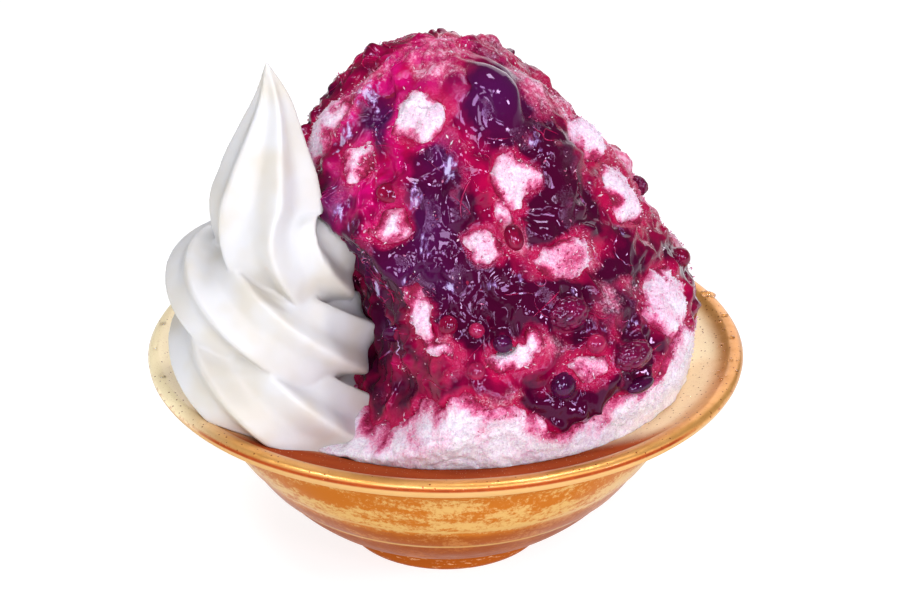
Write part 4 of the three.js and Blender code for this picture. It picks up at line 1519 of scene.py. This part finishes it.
@dataclass
class SauceThreads:
    """Thin pulled threads that lie on the sheet and catch the light, each also coloured with a painted
    highlight.
    """

    sauce: BerrySauce
    count: int = 330
    points: int = 16
    sides: int = 8
    thickness: Band = (0.12, 0.32)
    steps: Band = (0.22, 0.95)  # length between two points of a thread
    headings: tuple[float, ...] = (0.3, -0.3, 1.3, 1.8)  # radians from straight up
    # strength of the painted highlight that each thread carries
    gleams: tuple[float, ...] = (0.35, 0.5, 0.65)
    gleam_chances: tuple[float, ...] = (0.5, 0.3, 0.2)
    grazing: Band = (88, 26)  # threads within the second of the first direction would stand out like hair

    def paths(self, rng: np.random.Generator) -> tuple[Array, Array]:
        """Lay out threads: each starts in the sauce and runs on in short steps, with a heading that
        swings as a sine. Those that leave the sauce or cross its smooth places are dropped.

        Args:
            rng: the source of the random draws.

        Returns:
            Direction and length up the side of each point; a thread is a column.
        """
        heap, layout = self.sauce.heap, self.sauce.layout
        a = rng.normal(0, 75, self.count)
        s = rng.uniform(18, heap.length - 12, self.count)
        heading = rng.choice(self.headings, self.count) + rng.normal(0, 0.35, self.count)
        swing = rng.normal(0, 1.1, self.count)
        step = rng.uniform(*self.steps, self.count)
        t = np.linspace(0, 1, self.points)
        way = heading + swing * np.sin(2.4 * t[:, None] + rng.uniform(0, 3, self.count))
        up = np.clip(s + np.cumsum(step * np.cos(way), axis=0), 8, heap.length - 8)
        turn = a + np.cumsum(step * np.degrees(np.sin(way) / np.maximum(heap.radius(up), 10)), axis=0)
        calm = layout.spots(turn, up, self.sauce.smooth) > 0.3
        grazed = np.abs(turn - self.grazing[0]) < self.grazing[1]
        good = (layout.cover(turn, up).gel > 0.8).all(axis=0) & ~calm.any(axis=0) & ~grazed.any(axis=0)
        return turn[:, good], up[:, good]

    def build(self) -> Piece:
        """Make each thread a tube whose radius swells and fades as the root of a sine.

        Returns:
            The threads as one piece.
        """
        rng = np.random.default_rng(8)
        turn, up = self.paths(rng)
        cover = self.sauce.layout.cover(turn, up)
        places, normal = self.sauce.heap.frame(turn, up)
        line = places + normal * (self.sauce.top(turn, up, cover) + 0.05)[..., None]
        ahead = unit(np.gradient(line, axis=0))
        across = unit(np.cross(ahead, normal))
        rise = np.cross(across, ahead)
        threads = line.shape[1]
        gleam = rng.choice(self.gleams, threads, p=self.gleam_chances)
        swell = np.sqrt(np.sin(math.pi * (0.03 + 0.94 * np.linspace(0, 1, self.points))))
        radius = rng.uniform(*self.thickness, threads) * swell[:, None]
        w = np.linspace(0, FULL_TURN, self.sides, endpoint=False)
        ring = np.cos(w)[:, None] * across[..., None, :] + np.sin(w)[:, None] * rise[..., None, :]
        rings = line[..., None, :] + radius[..., None, None] * ring
        marks = self.sauce.marks(turn, up, cover)
        # painted highlight: each thread's gleam is added to its highlight mark
        marks |= {"painted_gleam": 0.3 * marks["painted_gleam"] + gleam, "soak": 0 * up, "depth": 0.6 * marks["depth"]}
        values = {key: np.concatenate([self.along_tube(mark[:, k]) for k in range(threads)])
                  for key, mark in marks.items()}
        tubes = [closed_tube(rings[:, k], line[0, k], line[-1, k]) for k in range(threads)]
        piece = add_mesh("sauce_threads", *together(tubes), values)
        return finished(piece, self.sauce.material, "berry_sauce")

    def along_tube(self, mark: Array) -> Array:
        """Return a thread's mark for each point of its tube: its rings, then its two tips."""
        return np.concatenate([np.repeat(mark, self.sides), mark[[0, -1]]])


# ---- loose grains ----
@dataclass
class IceGrains:
    """Loose slivers of ice on the bare and the soaked places: small uneven octahedra."""

    ice: ShavedIce
    count: int = 60000
    sizes: Band = (0.2, 0.6)
    lengths: Band = (0.9, 1.9)  # half length, width and thickness, as shares of the size
    widths: Band = (0.4, 0.8)
    depths: Band = (0.3, 0.7)
    bare_under: float = 0.2  # millimetres inside the sheet up to which the ice shows
    corners: tuple[tuple[int, int, int], ...] = (
        (0, 2, 4), (2, 1, 4), (1, 3, 4), (3, 0, 4), (2, 0, 5), (1, 2, 5), (3, 1, 5), (0, 3, 5))

    def places(self, rng: np.random.Generator) -> tuple[Array, Array]:
        """Scatter slivers evenly over the heap, thinner at the back, and drop most of those that would
        lie on the sheet of sauce away from its rim, its soaked ice and its frost.

        Args:
            rng: the source of the random draws.

        Returns:
            Directions and lengths up the side.
        """
        heap = self.ice.heap
        s = rng.uniform(1.0, heap.length - 1, self.count)
        a = rng.uniform(-180, 180, self.count)
        wide_enough = rng.uniform(0, 76, self.count) < heap.radius(s)
        front = rng.uniform(0, 1, self.count) < np.where(np.abs(a) < 110, 1.0, 0.5)
        a, s = a[wide_enough & front], s[wide_enough & front]
        cover = self.ice.layout.cover(a, s)
        chance = 0.75 * np.exp(-np.maximum(cover.gel, 0) / 1.1) + 0.20 * cover.soak + 0.30 * cover.frost
        shown = (cover.gel < self.bare_under) | (rng.uniform(0, 1, len(a)) < chance)
        return a[shown], s[shown]

    def build(self) -> Piece:
        """Set a sliver on each place and turn it at random: corner = place + turned axis times its half
        length.

        Returns:
            The slivers as one piece.
        """
        rng = np.random.default_rng(21)
        a, s = self.places(rng)
        n = len(a)
        cover = self.ice.layout.cover(a, s)
        bare = cover.gel < self.bare_under
        place, normal = self.ice.heap.frame(a, s)
        sheet = self.ice.layout.bed + self.ice.layout.depth(a, s, cover.sauce) + 0.2
        lift = np.where(bare, self.ice.level(a, s, cover), sheet) + rng.uniform(-0.1, 0.4, n)
        middle = place + normal * lift[:, None]
        size = rng.uniform(*self.sizes, n) * rng.uniform(0.6, 1.0, n)
        turn = np.linalg.qr(rng.normal(size=(n, 3, 3)))[0]
        shares = [rng.uniform(*band, n) for band in (self.lengths, self.widths, self.depths)]
        arms = turn * (size[:, None] * np.stack(shares, 1))[:, None, :]
        corners = np.stack([middle + sign * arms[:, :, k] for k in range(3) for sign in (1, -1)], 1)
        shape = np.array(self.corners)
        mirrored = np.linalg.det(turn) < 0
        faces = np.where(mirrored[:, None, None], shape[:, ::-1], shape) + (6 * np.arange(n))[:, None, None]
        faces = faces.reshape(-1, 3)[:, [0, 1, 2, 2]]
        stain = self.ice.stain(a, s, cover)
        spread = np.where(bare, 0.42, 0.24) * stain * rng.normal(-0.1, 1, n)
        stain = np.clip(np.where(bare, stain, 0.66 - 0.3 * cover.frost) + spread, 0, 1)
        values = {"stain": np.repeat(stain, 6)}
        piece = add_mesh("ice_slivers", corners.reshape(-1, 3), faces, values, smooth=False)
        return finished(piece, SnowFinish("ice_slivers", roughness=0.35).build(), "shaved_ice")


# ---- berries ----
class Skin(Enum):
    """Kinds of berry skin: the record's slot, colour in the light, colour in the shade, roughness."""

    DARK = ("dark_berry", (0.075, 0.002, 0.040), (0.030, 0.001, 0.018), 0.06)
    RED = ("red_berry", (0.26, 0.002, 0.035), (0.10, 0.001, 0.016), 0.05)
    PINK = ("pink_berry", (0.40, 0.014, 0.075), (0.17, 0.003, 0.035), 0.07)
    DRUPES = ("dark_berry", (0.17, 0.002, 0.040), (0.06, 0.001, 0.018), 0.06)


@dataclass(frozen=True)
class BerryFinish:
    """Wet berry skin with soft clouds of a lighter colour."""

    skin: Skin

    def build(self) -> Material:
        """Make the material.

        Returns:
            The skin's finish.
        """
        _, light, shade, rough = self.skin.value
        m = Coat("berry_" + self.skin.name.lower())
        m.set(
            Base_Color=m.ramp(m.noise(3.5, 3, 0.6), [(0.3, shade), (0.7, light)]),
            Roughness=rough,
            IOR=1.43,
            Specular_Tint=(0.75, 0.65, 1.0),
            Subsurface_Weight=0.15,
            Subsurface_Scale=0.002,
            Normal=m.bump(m.noise(2.0, 2), 0.15),
        )
        return m.material


@dataclass
class Berry:
    """One berry on the heap: an ellipsoid in the surface's own directions, plain or set with beads."""

    name: str
    azimuth: float
    along: float
    wide: float
    tall: float
    deep: float
    lift: float
    skin: Skin
    clear: float = 0.3  # how far its top stands clear of the sauce round it
    sunk: bool = False  # lies under a broad swell of sauce, lower and flatter
    sunk_drop: float = 1.7
    sunk_share: float = 0.62
    beads: int = 34
    bead_size: float = 0.40  # half width of a bead, in radians
    bead_rise: float = 0.2  # share of the berry's radius

    @property
    def oval(self) -> tuple[float, float, float, float]:
        """Return its outline on the heap: direction, length up, half width, half height."""
        return self.azimuth, self.along, self.wide, self.tall

    def relief(self, v: Array) -> Array:
        """Work out the relief of beads set in a golden spiral round the berry: half a sphere over each.

        Args:
            v: directions from the berry's middle, each 1 long.

        Returns:
            The share by which the berry's radius swells in each.
        """
        if self.skin is not Skin.DRUPES:
            return np.zeros(v.shape[:-1])
        k = np.arange(self.beads) + 0.5
        height, turn = 1 - 2 * k / self.beads, math.pi * (1 + math.sqrt(5)) * k
        flat = np.sqrt(1 - height * height)
        bead = np.stack([flat * np.cos(turn), flat * np.sin(turn), height], -1)
        apart = np.arccos(np.clip((v @ bead.T).max(-1), -1, 1))
        return self.bead_rise * (np.sqrt(np.clip(1 - (apart / self.bead_size) ** 2, 0, 1)) - 0.55)

    def build(self, heap: Heap) -> Piece:
        """Make the berry: p = middle + x across + y upward + z outward over a sphere's grid.

        Args:
            heap: the surface it lies on.

        Returns:
            The berry's skin.
        """
        place, normal = heap.frame(np.array([self.azimuth]), np.array([self.along]))
        across = np.array([math.cos(math.radians(self.azimuth)), math.sin(math.radians(self.azimuth)), 0])
        upward = np.cross(normal[0], across)
        middle = place[0] + normal[0] * (self.lift - (self.sunk_drop if self.sunk else 0.0))
        deep = self.deep * (self.sunk_share if self.sunk else 1.0)
        v = ball(60, 96) if self.skin is Skin.DRUPES else ball(26, 44)
        axes = np.array([across * self.wide, upward * self.tall, normal[0] * deep])
        rings = middle + (v * (1 + self.relief(v)[..., None])) @ axes
        points, quads = closed_tube(rings, middle + axes[2], middle - axes[2])
        piece = add_mesh(self.name + "_skin", points, quads)
        return finished(piece, BerryFinish(self.skin).build(), self.skin.value[0], self.name)


BERRIES = [
    Berry("dark_berry_top", 36, 113, 10, 9, 5.2, 0.4, Skin.DARK, clear=-0.6, sunk=True),
    Berry("dark_berry_front", 27, 26.9, 4.1, 4.1, 4, 0.4, Skin.DARK),
    Berry("dark_berry_mid", 14.4, 41, 2.9, 2.7, 2.6, 0.4, Skin.DARK),
    Berry("dark_berry_left", -16, 34, 3.5, 4.1, 2.8, 0.3, Skin.DARK),
    Berry("red_berry_mid", 1, 46.6, 3, 3, 2.8, 0.3, Skin.RED),
    Berry("red_berry_left", -18, 83, 3.9, 3.6, 2.4, 0.2, Skin.RED),
    Berry("red_berry_drop", 24, 70.5, 2.8, 4, 2.5, 0.2, Skin.RED),
    Berry("red_berry_right", 88, 38, 3.2, 3.2, 3, 0.5, Skin.RED),
    Berry("pink_berry_right", 36.5, 36.4, 3.3, 2.9, 2.6, 0.3, Skin.PINK),
    Berry("pink_berry_mid", 8.6, 45.2, 2.3, 2.3, 2.3, 0.4, Skin.PINK),
    Berry("pink_berry_low", 7, 33.5, 2.6, 2.6, 2.4, 0.4, Skin.PINK),
    Berry("berry_cluster_mid", 32, 46.6, 5.8, 4.5, 3.6, 0.2, Skin.DRUPES),
    Berry("berry_cluster_right", 45, 29.6, 6.7, 4, 3.8, 0.2, Skin.DRUPES),
    Berry("berry_piece_top", 96, 60.8, 2.8, 3.2, 2.8, 0.6, Skin.DRUPES),
    Berry("berry_piece_low", 45.5, 21, 5.3, 2.2, 2.6, 0.4, Skin.DARK),
]


# ---- soft serve ----
@dataclass(frozen=True)
class CreamFinish:
    """Satin white soft serve with a hint of cream."""

    white: Colour = (0.62, 0.62, 0.616)
    cream: Colour = (0.585, 0.553, 0.485)

    def build(self) -> Material:
        """Make the material.

        Returns:
            The cream's finish.
        """
        m = Coat("soft_serve")
        m.set(
            Base_Color=m.ramp(m.noise(16, 2), [(0.35, self.cream), (0.6, self.white)]),
            Roughness=0.38,
            Specular_IOR_Level=0.25,
            Subsurface_Weight=0.3,
            Subsurface_Scale=0.003,
            Subsurface_Radius=(1.0, 0.85, 0.65),
            Normal=m.bump(m.noise(0.8, 3, 0.6), 0.02, m.bump(m.noise(6, 2), 0.1)),
        )
        return m.material


@dataclass
class SoftServe:
    """A rope with six ridges, coiled from the bowl up to a bent tip, joined into one skin."""

    axis: tuple[float, float] = (-49.5, -29)
    drift: tuple[float, float] = (3.6, -3.2)  # how far the axis lies aside, one turn down
    ridges: int = 6
    ridge_depth: float = 0.25
    ridge_round: float = 0.006  # rounds the ridges and valleys
    # turn, coil radius, rope radius, height, tilt
    rope: list[tuple[float, ...]] = field(default_factory=lambda: [
        (-0.9, 12, 9, 40, 0.35), (-0.6, 13, 13, 48, 0.35), (-0.25, 14, 15, 59, 0.38),
        (0, 17.5, 15.8, 65.4, 0.38), (0.25, 18.5, 15, 72.5, 0.34), (0.5, 16, 14.5, 79, 0.34),
        (0.75, 16, 14.5, 85, 0.38), (1, 16.5, 14.5, 89, 0.38), (1.25, 17, 14, 93, 0.32),
        (1.5, 13, 13.5, 98, 0.25), (1.75, 13, 13.5, 104, 0.25), (1.88, 9.5, 15, 107, 0.18),
        (2, 6, 16.8, 113, 0.1), (2.1, 4, 17, 121, 0), (2.2, 2.8, 14.4, 131, 0), (2.3, 1.7, 9.8, 142, 0),
        (2.4, 0.8, 5.2, 153, 0), (2.5, 0, 0.4, 163.2, 0)])
    tip_shift: Knots = field(default_factory=lambda: [
        (1.9, 0), (2.05, 0.6), (2.2, 2.4), (2.35, 2.2), (2.5, 0.1)])
    # turn, degrees by which the ridges are turned on
    phase: Knots = field(default_factory=lambda: [
        (-0.9, -20), (1.6, -20), (2.05, 15), (2.5, 22)])
    # radius, height: fills the coil's middle
    core: Knots = field(default_factory=lambda: [(9, 42), (9.5, 100), (7, 114), (2, 146)])
    core_top: float = 150
    heel: tuple[float, float, float] = (-40, -28, 113.5)  # the bulge where the rope turns up into the tip
    heel_size: tuple[float, float, float] = (6.5, 6, 7.5)
    # radius from the bowl's axis, height that the swirl rests on: its bed of ice, then the flange
    rest: Knots = field(default_factory=lambda: [(63, 54), (66, 55.3), (84, 62.7), (90, 63.9)])
    rings: int = 900
    sides: int = 96
    voxel: float = 0.62

    def __post_init__(self) -> None:
        """Lay the rope's curves by its turns."""
        turns = [knot[0] for knot in self.rope]
        self.turns = turns[0], turns[-1]
        self.coil, self.reach, self.height, self.tilt = (
            Curve([(knot[0], knot[i]) for knot in self.rope]) for i in (1, 2, 3, 4))

    def centre(self, turn: Array) -> Array:
        """Work out the rope's centre line: a circle round the drifting axis that climbs and tilts.

        Args:
            turn: turns of the coil, clockwise from the front.

        Returns:
            A place for each.
        """
        radius = self.coil(turn)
        a = -math.pi / 2 - FULL_TURN * turn
        low = np.clip(1 - turn, 0, 1)
        return np.stack([
            self.axis[0] + self.drift[0] * low + Curve(self.tip_shift)(turn) + radius * np.cos(a),
            self.axis[1] + self.drift[1] * low + radius * np.sin(a),
            self.height(turn) - self.tilt(turn) * radius * np.cos(a),
        ], -1)

    def section(self, w: Array) -> Array:
        """Work out the rope's star: 1 on its ridges, and less by the ridge depth times the sine of the
        way from a ridge to the valley beside it.

        Args:
            w: directions round the rope, in radians.

        Returns:
            The share of the rope's radius in each.
        """
        soft = self.ridge_round
        u = np.abs(np.mod(w * self.ridges / FULL_TURN + 0.5, 1) - 0.5) * 2
        u = (np.sqrt(u * u + soft) - math.sqrt(soft)) / (math.sqrt(1 + soft) - math.sqrt(soft))
        return 1 - self.ridge_depth * np.sin(u * math.pi / 2)

    def sweep(self) -> Skinned:
        """Carry the star along the centre line, turned once a coil. On the coil's inside it stops at the
        line's centre of curvature, (r^2 + rise^2) / r away, so that no ring crosses the next.

        Returns:
            The rope's skin.
        """
        turn = np.linspace(*self.turns, self.rings)
        e = 0.004
        centre = self.centre(turn)
        ahead = unit(self.centre(np.minimum(turn + e, self.turns[1])) - self.centre(turn - e))
        a = -math.pi / 2 - FULL_TURN * turn
        out = np.stack([np.cos(a), np.sin(a), 0 * a], -1)
        out = unit(out - ahead * np.einsum("ij,ij->i", out, ahead)[:, None])
        side = np.cross(ahead, out)
        rise = (self.height(turn + e) - self.height(turn - e)) / (2 * FULL_TURN * e)
        r = np.maximum(self.coil(turn), 0.05)
        inward = -0.94 * (r * r + rise * rise) / r
        w = np.linspace(0, FULL_TURN, self.sides, endpoint=False)
        reach = self.reach(turn)[:, None] * self.section(w)
        angle = (FULL_TURN * turn + np.radians(Curve(self.phase)(turn)))[:, None] + w
        x = np.maximum(inward[:, None], reach * np.cos(angle))
        y = reach * np.sin(angle)
        rings = centre[:, None] + x[..., None] * out[:, None] + y[..., None] * side[:, None]
        return closed_tube(rings, centre[0], centre[-1])

    def filling(self) -> list[Skinned]:
        """Make the core, turned about the swirl's axis, and the ball of the heel.

        Returns:
            Their two skins.
        """
        t = np.linspace(0, FULL_TURN, 24, endpoint=False)
        x, y = self.axis
        core = np.array([np.stack([r * np.cos(t) + x, r * np.sin(t) + y, z + 0 * t], -1)
                         for r, z in self.core])
        heel, high = np.array(self.heel), np.array([0, 0, self.heel_size[2]])
        return [
            closed_tube(core, (x, y, self.core[0][1]), (x, y, self.core_top)),
            closed_tube(heel + ball(12, 24) * self.heel_size, heel + high, heel - high),
        ]

    def build(self) -> Piece:
        """Fuse the rope, its core and its heel on a fine voxel grid, and lift what is lower than the
        ice and the flange onto them.

        Returns:
            The swirl.
        """
        rough = add_mesh("swirl_parts", *together([self.sweep(), *self.filling()]))
        remesh = rough.modifiers.new("fuse", "REMESH")
        remesh.mode = "VOXEL"
        remesh.voxel_size = self.voxel * MM
        graph = bpy.context.evaluated_depsgraph_get()
        mesh = bpy.data.meshes.new_from_object(rough.evaluated_get(graph))
        bpy.data.objects.remove(rough)
        co = np.zeros(len(mesh.vertices) * 3, np.float32)
        mesh.vertices.foreach_get("co", co)
        p = co.reshape(-1, 3).astype(float) / MM
        p[:, 2] = np.maximum(p[:, 2], np.interp(np.hypot(p[:, 0], p[:, 1]), *zip(*self.rest)))
        mesh.vertices.foreach_set("co", (p * MM).astype(np.float32).ravel())
        mesh.update()
        mesh.shade_smooth()
        return finished(placed("cream_swirl", mesh), CreamFinish().build(), "soft_serve", "soft_serve")


# ---- water drops ----
@dataclass(frozen=True)
class WaterFinish:
    """Clear water."""

    tint: Colour = (1.0, 0.99, 0.97)

    def build(self) -> Material:
        """Make the material, with the faintest unevenness on its surface.

        Returns:
            The water's finish.
        """
        m = Coat("water")
        m.set(Base_Color=self.tint, Roughness=0.02, IOR=1.33, Transmission_Weight=1.0,
              Normal=m.bump(m.noise(1.5), 0.04))
        return m.material


@dataclass
class WaterDrops:
    """Drops that stand on the flange and lip: low domes sunk a little into the glaze's surface."""

    bowl: Bowl
    # direction, radius from the axis, half width
    drops: list[tuple[float, float, float]] = field(default_factory=lambda: [
        (72, 85.1, 0.9), (73, 86.3, 0.5), (77, 81.3, 0.6), (76, 83.1, 1), (80, 79.9, 0.8), (79, 85, 0.5),
        (80, 86.3, 0.7), (85, 84, 0.6), (88, 83.2, 1.1), (82, 83, 0.5), (90, 87, 0.8), (94, 85.4, 0.6),
        (98, 85.1, 0.9), (100, 87.6, 1), (110, 87.9, 2), (116, 82.2, 0.8), (80, 88.6, 0.5), (76, 88.9, 0.6),
        (-96, 87.5, 1), (-85, 87.6, 0.8), (-73, 87.2, 1.1), (60, 80, 0.7), (54, 83.5, 0.5), (66, 78, 0.9),
        (-104, 84, 0.7), (128, 82, 1.0), (150, 86, 0.9), (171, 81, 1.2), (196, 85, 0.8), (214, 80, 0.9)])
    rise: float = 0.5  # height and length down the slope, as shares of the half width
    run: float = 1.15
    wobble: float = 0.12

    def drop(self, degrees: float, r: float, size: float) -> Skinned:
        """Make a drop: p = foot + x across + y down the slope + z outward over a sphere's grid, drawn
        into an oval by a sine of twice the turn.

        Args:
            degrees: its direction from the bowl's axis.
            r: its radius from the axis.
            size: its half width.

        Returns:
            The drop's skin.
        """
        a = math.radians(degrees)
        slope = float(self.bowl.upper(r + 0.2) - self.bowl.upper(r - 0.2)) / 0.4
        out = np.array([math.sin(a), -math.cos(a), 0.0])
        along = (out + (0, 0, slope)) / math.hypot(1, slope)
        normal = (np.array([0, 0, 1.0]) - slope * out) / math.hypot(1, slope)
        foot = out * r + (0, 0, float(self.bowl.upper(r)))
        high = normal * size * self.rise
        v = ball(10, 20)
        turn, girth = np.arctan2(v[..., 1], v[..., 0]), np.hypot(v[..., 0], v[..., 1])
        oval = 1 + self.wobble * np.sin(2 * turn + degrees) * girth
        axes = np.array([np.cross(normal, along) * size, along * size * self.run, high])
        return closed_tube(foot + (v * oval[..., None]) @ axes, foot + high, foot - high)

    def build(self) -> Piece:
        """Return the drops as one piece."""
        piece = add_mesh("water_drops", *together([self.drop(*drop) for drop in self.drops]))
        return finished(piece, WaterFinish().build(), "gold_glaze")


# ---- studio ----
COOL: Colour = (0.95, 0.95, 1.0)
ROSE: Colour = (1.0, 0.90, 0.96)
LILAC: Colour = (0.9, 0.8, 1.0)
VIOLET: Colour = (0.8, 0.75, 1.0)


@dataclass(frozen=True)
class Softbox:
    """A soft light, turned to the dessert."""

    name: str
    place: tuple[float, float, float]  # millimetres
    power: float  # watts
    size: float  # side in millimetres
    tint: Colour = COOL
    height: float = 0.0  # its other side, where it isn't square
    gloss_only: bool = False  # shows in reflections alone
    aim: tuple[float, float, float] = (0, 0, 90)

    def hang(self) -> None:
        """Make the light."""
        light = bpy.data.lights.new(self.name, "AREA")
        light.energy = self.power
        light.shape = "RECTANGLE"
        light.size = self.size * MM
        light.size_y = (self.height or self.size) * MM
        light.color = self.tint
        lamp = bpy.data.objects.new(self.name, light)
        lamp.location = Vector(self.place) * MM
        lamp.visible_diffuse = lamp.visible_transmission = not self.gloss_only
        way = Vector(self.aim) * MM - lamp.location
        lamp.rotation_euler = way.to_track_quat("-Z", "Y").to_euler()
        bpy.context.scene.collection.objects.link(lamp)


@dataclass
class Studio:
    """A pale floor, soft lights and the camera."""

    camera_distance: float = 754.0
    camera_height: float = 25.91  # degrees above level
    target: tuple[float, float, float] = (1.3, 0, 76.2)
    lens: float = 100.0
    floor_size: float = 3000.0
    floor_grey: float = 0.35
    floor_glow: float = 0.80
    sky: Colour = (0.96, 0.97, 1.0)
    sky_strength: float = 0.14
    lights: tuple[Softbox, ...] = (
        Softbox("key", (-480, -240, 900), 2.7, 165),
        Softbox("top", (280, 160, 1100), 4.0, 240),
        Softbox("back", (300, 1000, 430), 3.4, 800, ROSE),
        Softbox("side", (760, -420, 420), 2.6, 130),
        Softbox("fill", (60, -1060, 330), 4.4, 250),
        Softbox("wide", (200, -900, 800), 2.8, 250),
        Softbox("streak", (-330, -1010, 420), 1.4, 60, height=420),
        Softbox("strip", (-720, -640, 150), 0.9, 50, height=420),
        Softbox("glint", (420, -900, 560), 1.5, 110, VIOLET, height=300),
        Softbox("gloss", (-260, -820, 860), 5.6, 300, LILAC, gloss_only=True),
        Softbox("gloss_right", (520, -700, 700), 3.0, 200, LILAC, gloss_only=True),
    )

    def floor(self) -> None:
        """Lay a wide plain floor under the bowl."""
        s = self.floor_size
        points = np.array([(-s, -s, 0), (s, -s, 0), (s, s, 0), (-s, s, 0)], float)
        piece = add_mesh("floor", points, np.array([[0, 1, 2, 3]]))
        m = Coat("floor_paper")
        m.set(Base_Color=(self.floor_grey,) * 3, Roughness=0.9, Emission_Color=(1.0, 1.0, 1.0),
              Emission_Strength=self.floor_glow)
        piece.data.materials.append(m.material)

    def camera(self) -> None:
        """Set the camera in front, looking down at the dessert."""
        data = bpy.data.cameras.new("camera")
        data.lens = self.lens
        data.sensor_width = 36
        data.clip_start = 0.01
        eye = bpy.data.objects.new("camera", data)
        up = math.radians(self.camera_height)
        target = Vector(self.target) * MM
        eye.location = target + Vector((0, -math.cos(up), math.sin(up))) * self.camera_distance * MM
        eye.rotation_euler = (target - eye.location).to_track_quat("-Z", "Y").to_euler()
        bpy.context.scene.collection.objects.link(eye)
        bpy.context.scene.camera = eye

    def build(self) -> None:
        """Set up everything round the dessert."""
        self.floor()
        for softbox in self.lights:
            softbox.hang()
        world = bpy.data.worlds.new("studio")
        world.use_nodes = True
        sky = world.node_tree.nodes["Background"]
        sky.inputs["Color"].default_value = (*self.sky, 1)
        sky.inputs["Strength"].default_value = self.sky_strength
        bpy.context.scene.world = world
        bpy.context.scene.view_settings.view_transform = "Standard"
        self.camera()


def main() -> None:
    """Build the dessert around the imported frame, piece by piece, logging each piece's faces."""
    logging.basicConfig(level=logging.INFO, format="%(message)s")
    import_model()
    Studio().build()
    heap = Heap()
    layout = SauceLayout(heap)
    bowl = Bowl()
    bowl.build()
    ice = ShavedIce(heap, layout, bowl, BERRIES)
    ice.build()
    sauce = BerrySauce(heap, layout, BERRIES, SauceFinish().build())
    sauce.build()
    SauceThreads(sauce).build()
    IceGrains(ice).build()
    SoftServe().build()
    for berry in BERRIES:
        berry.build(heap)
    WaterDrops(bowl).build()


if __name__ == "__main__":
    main()
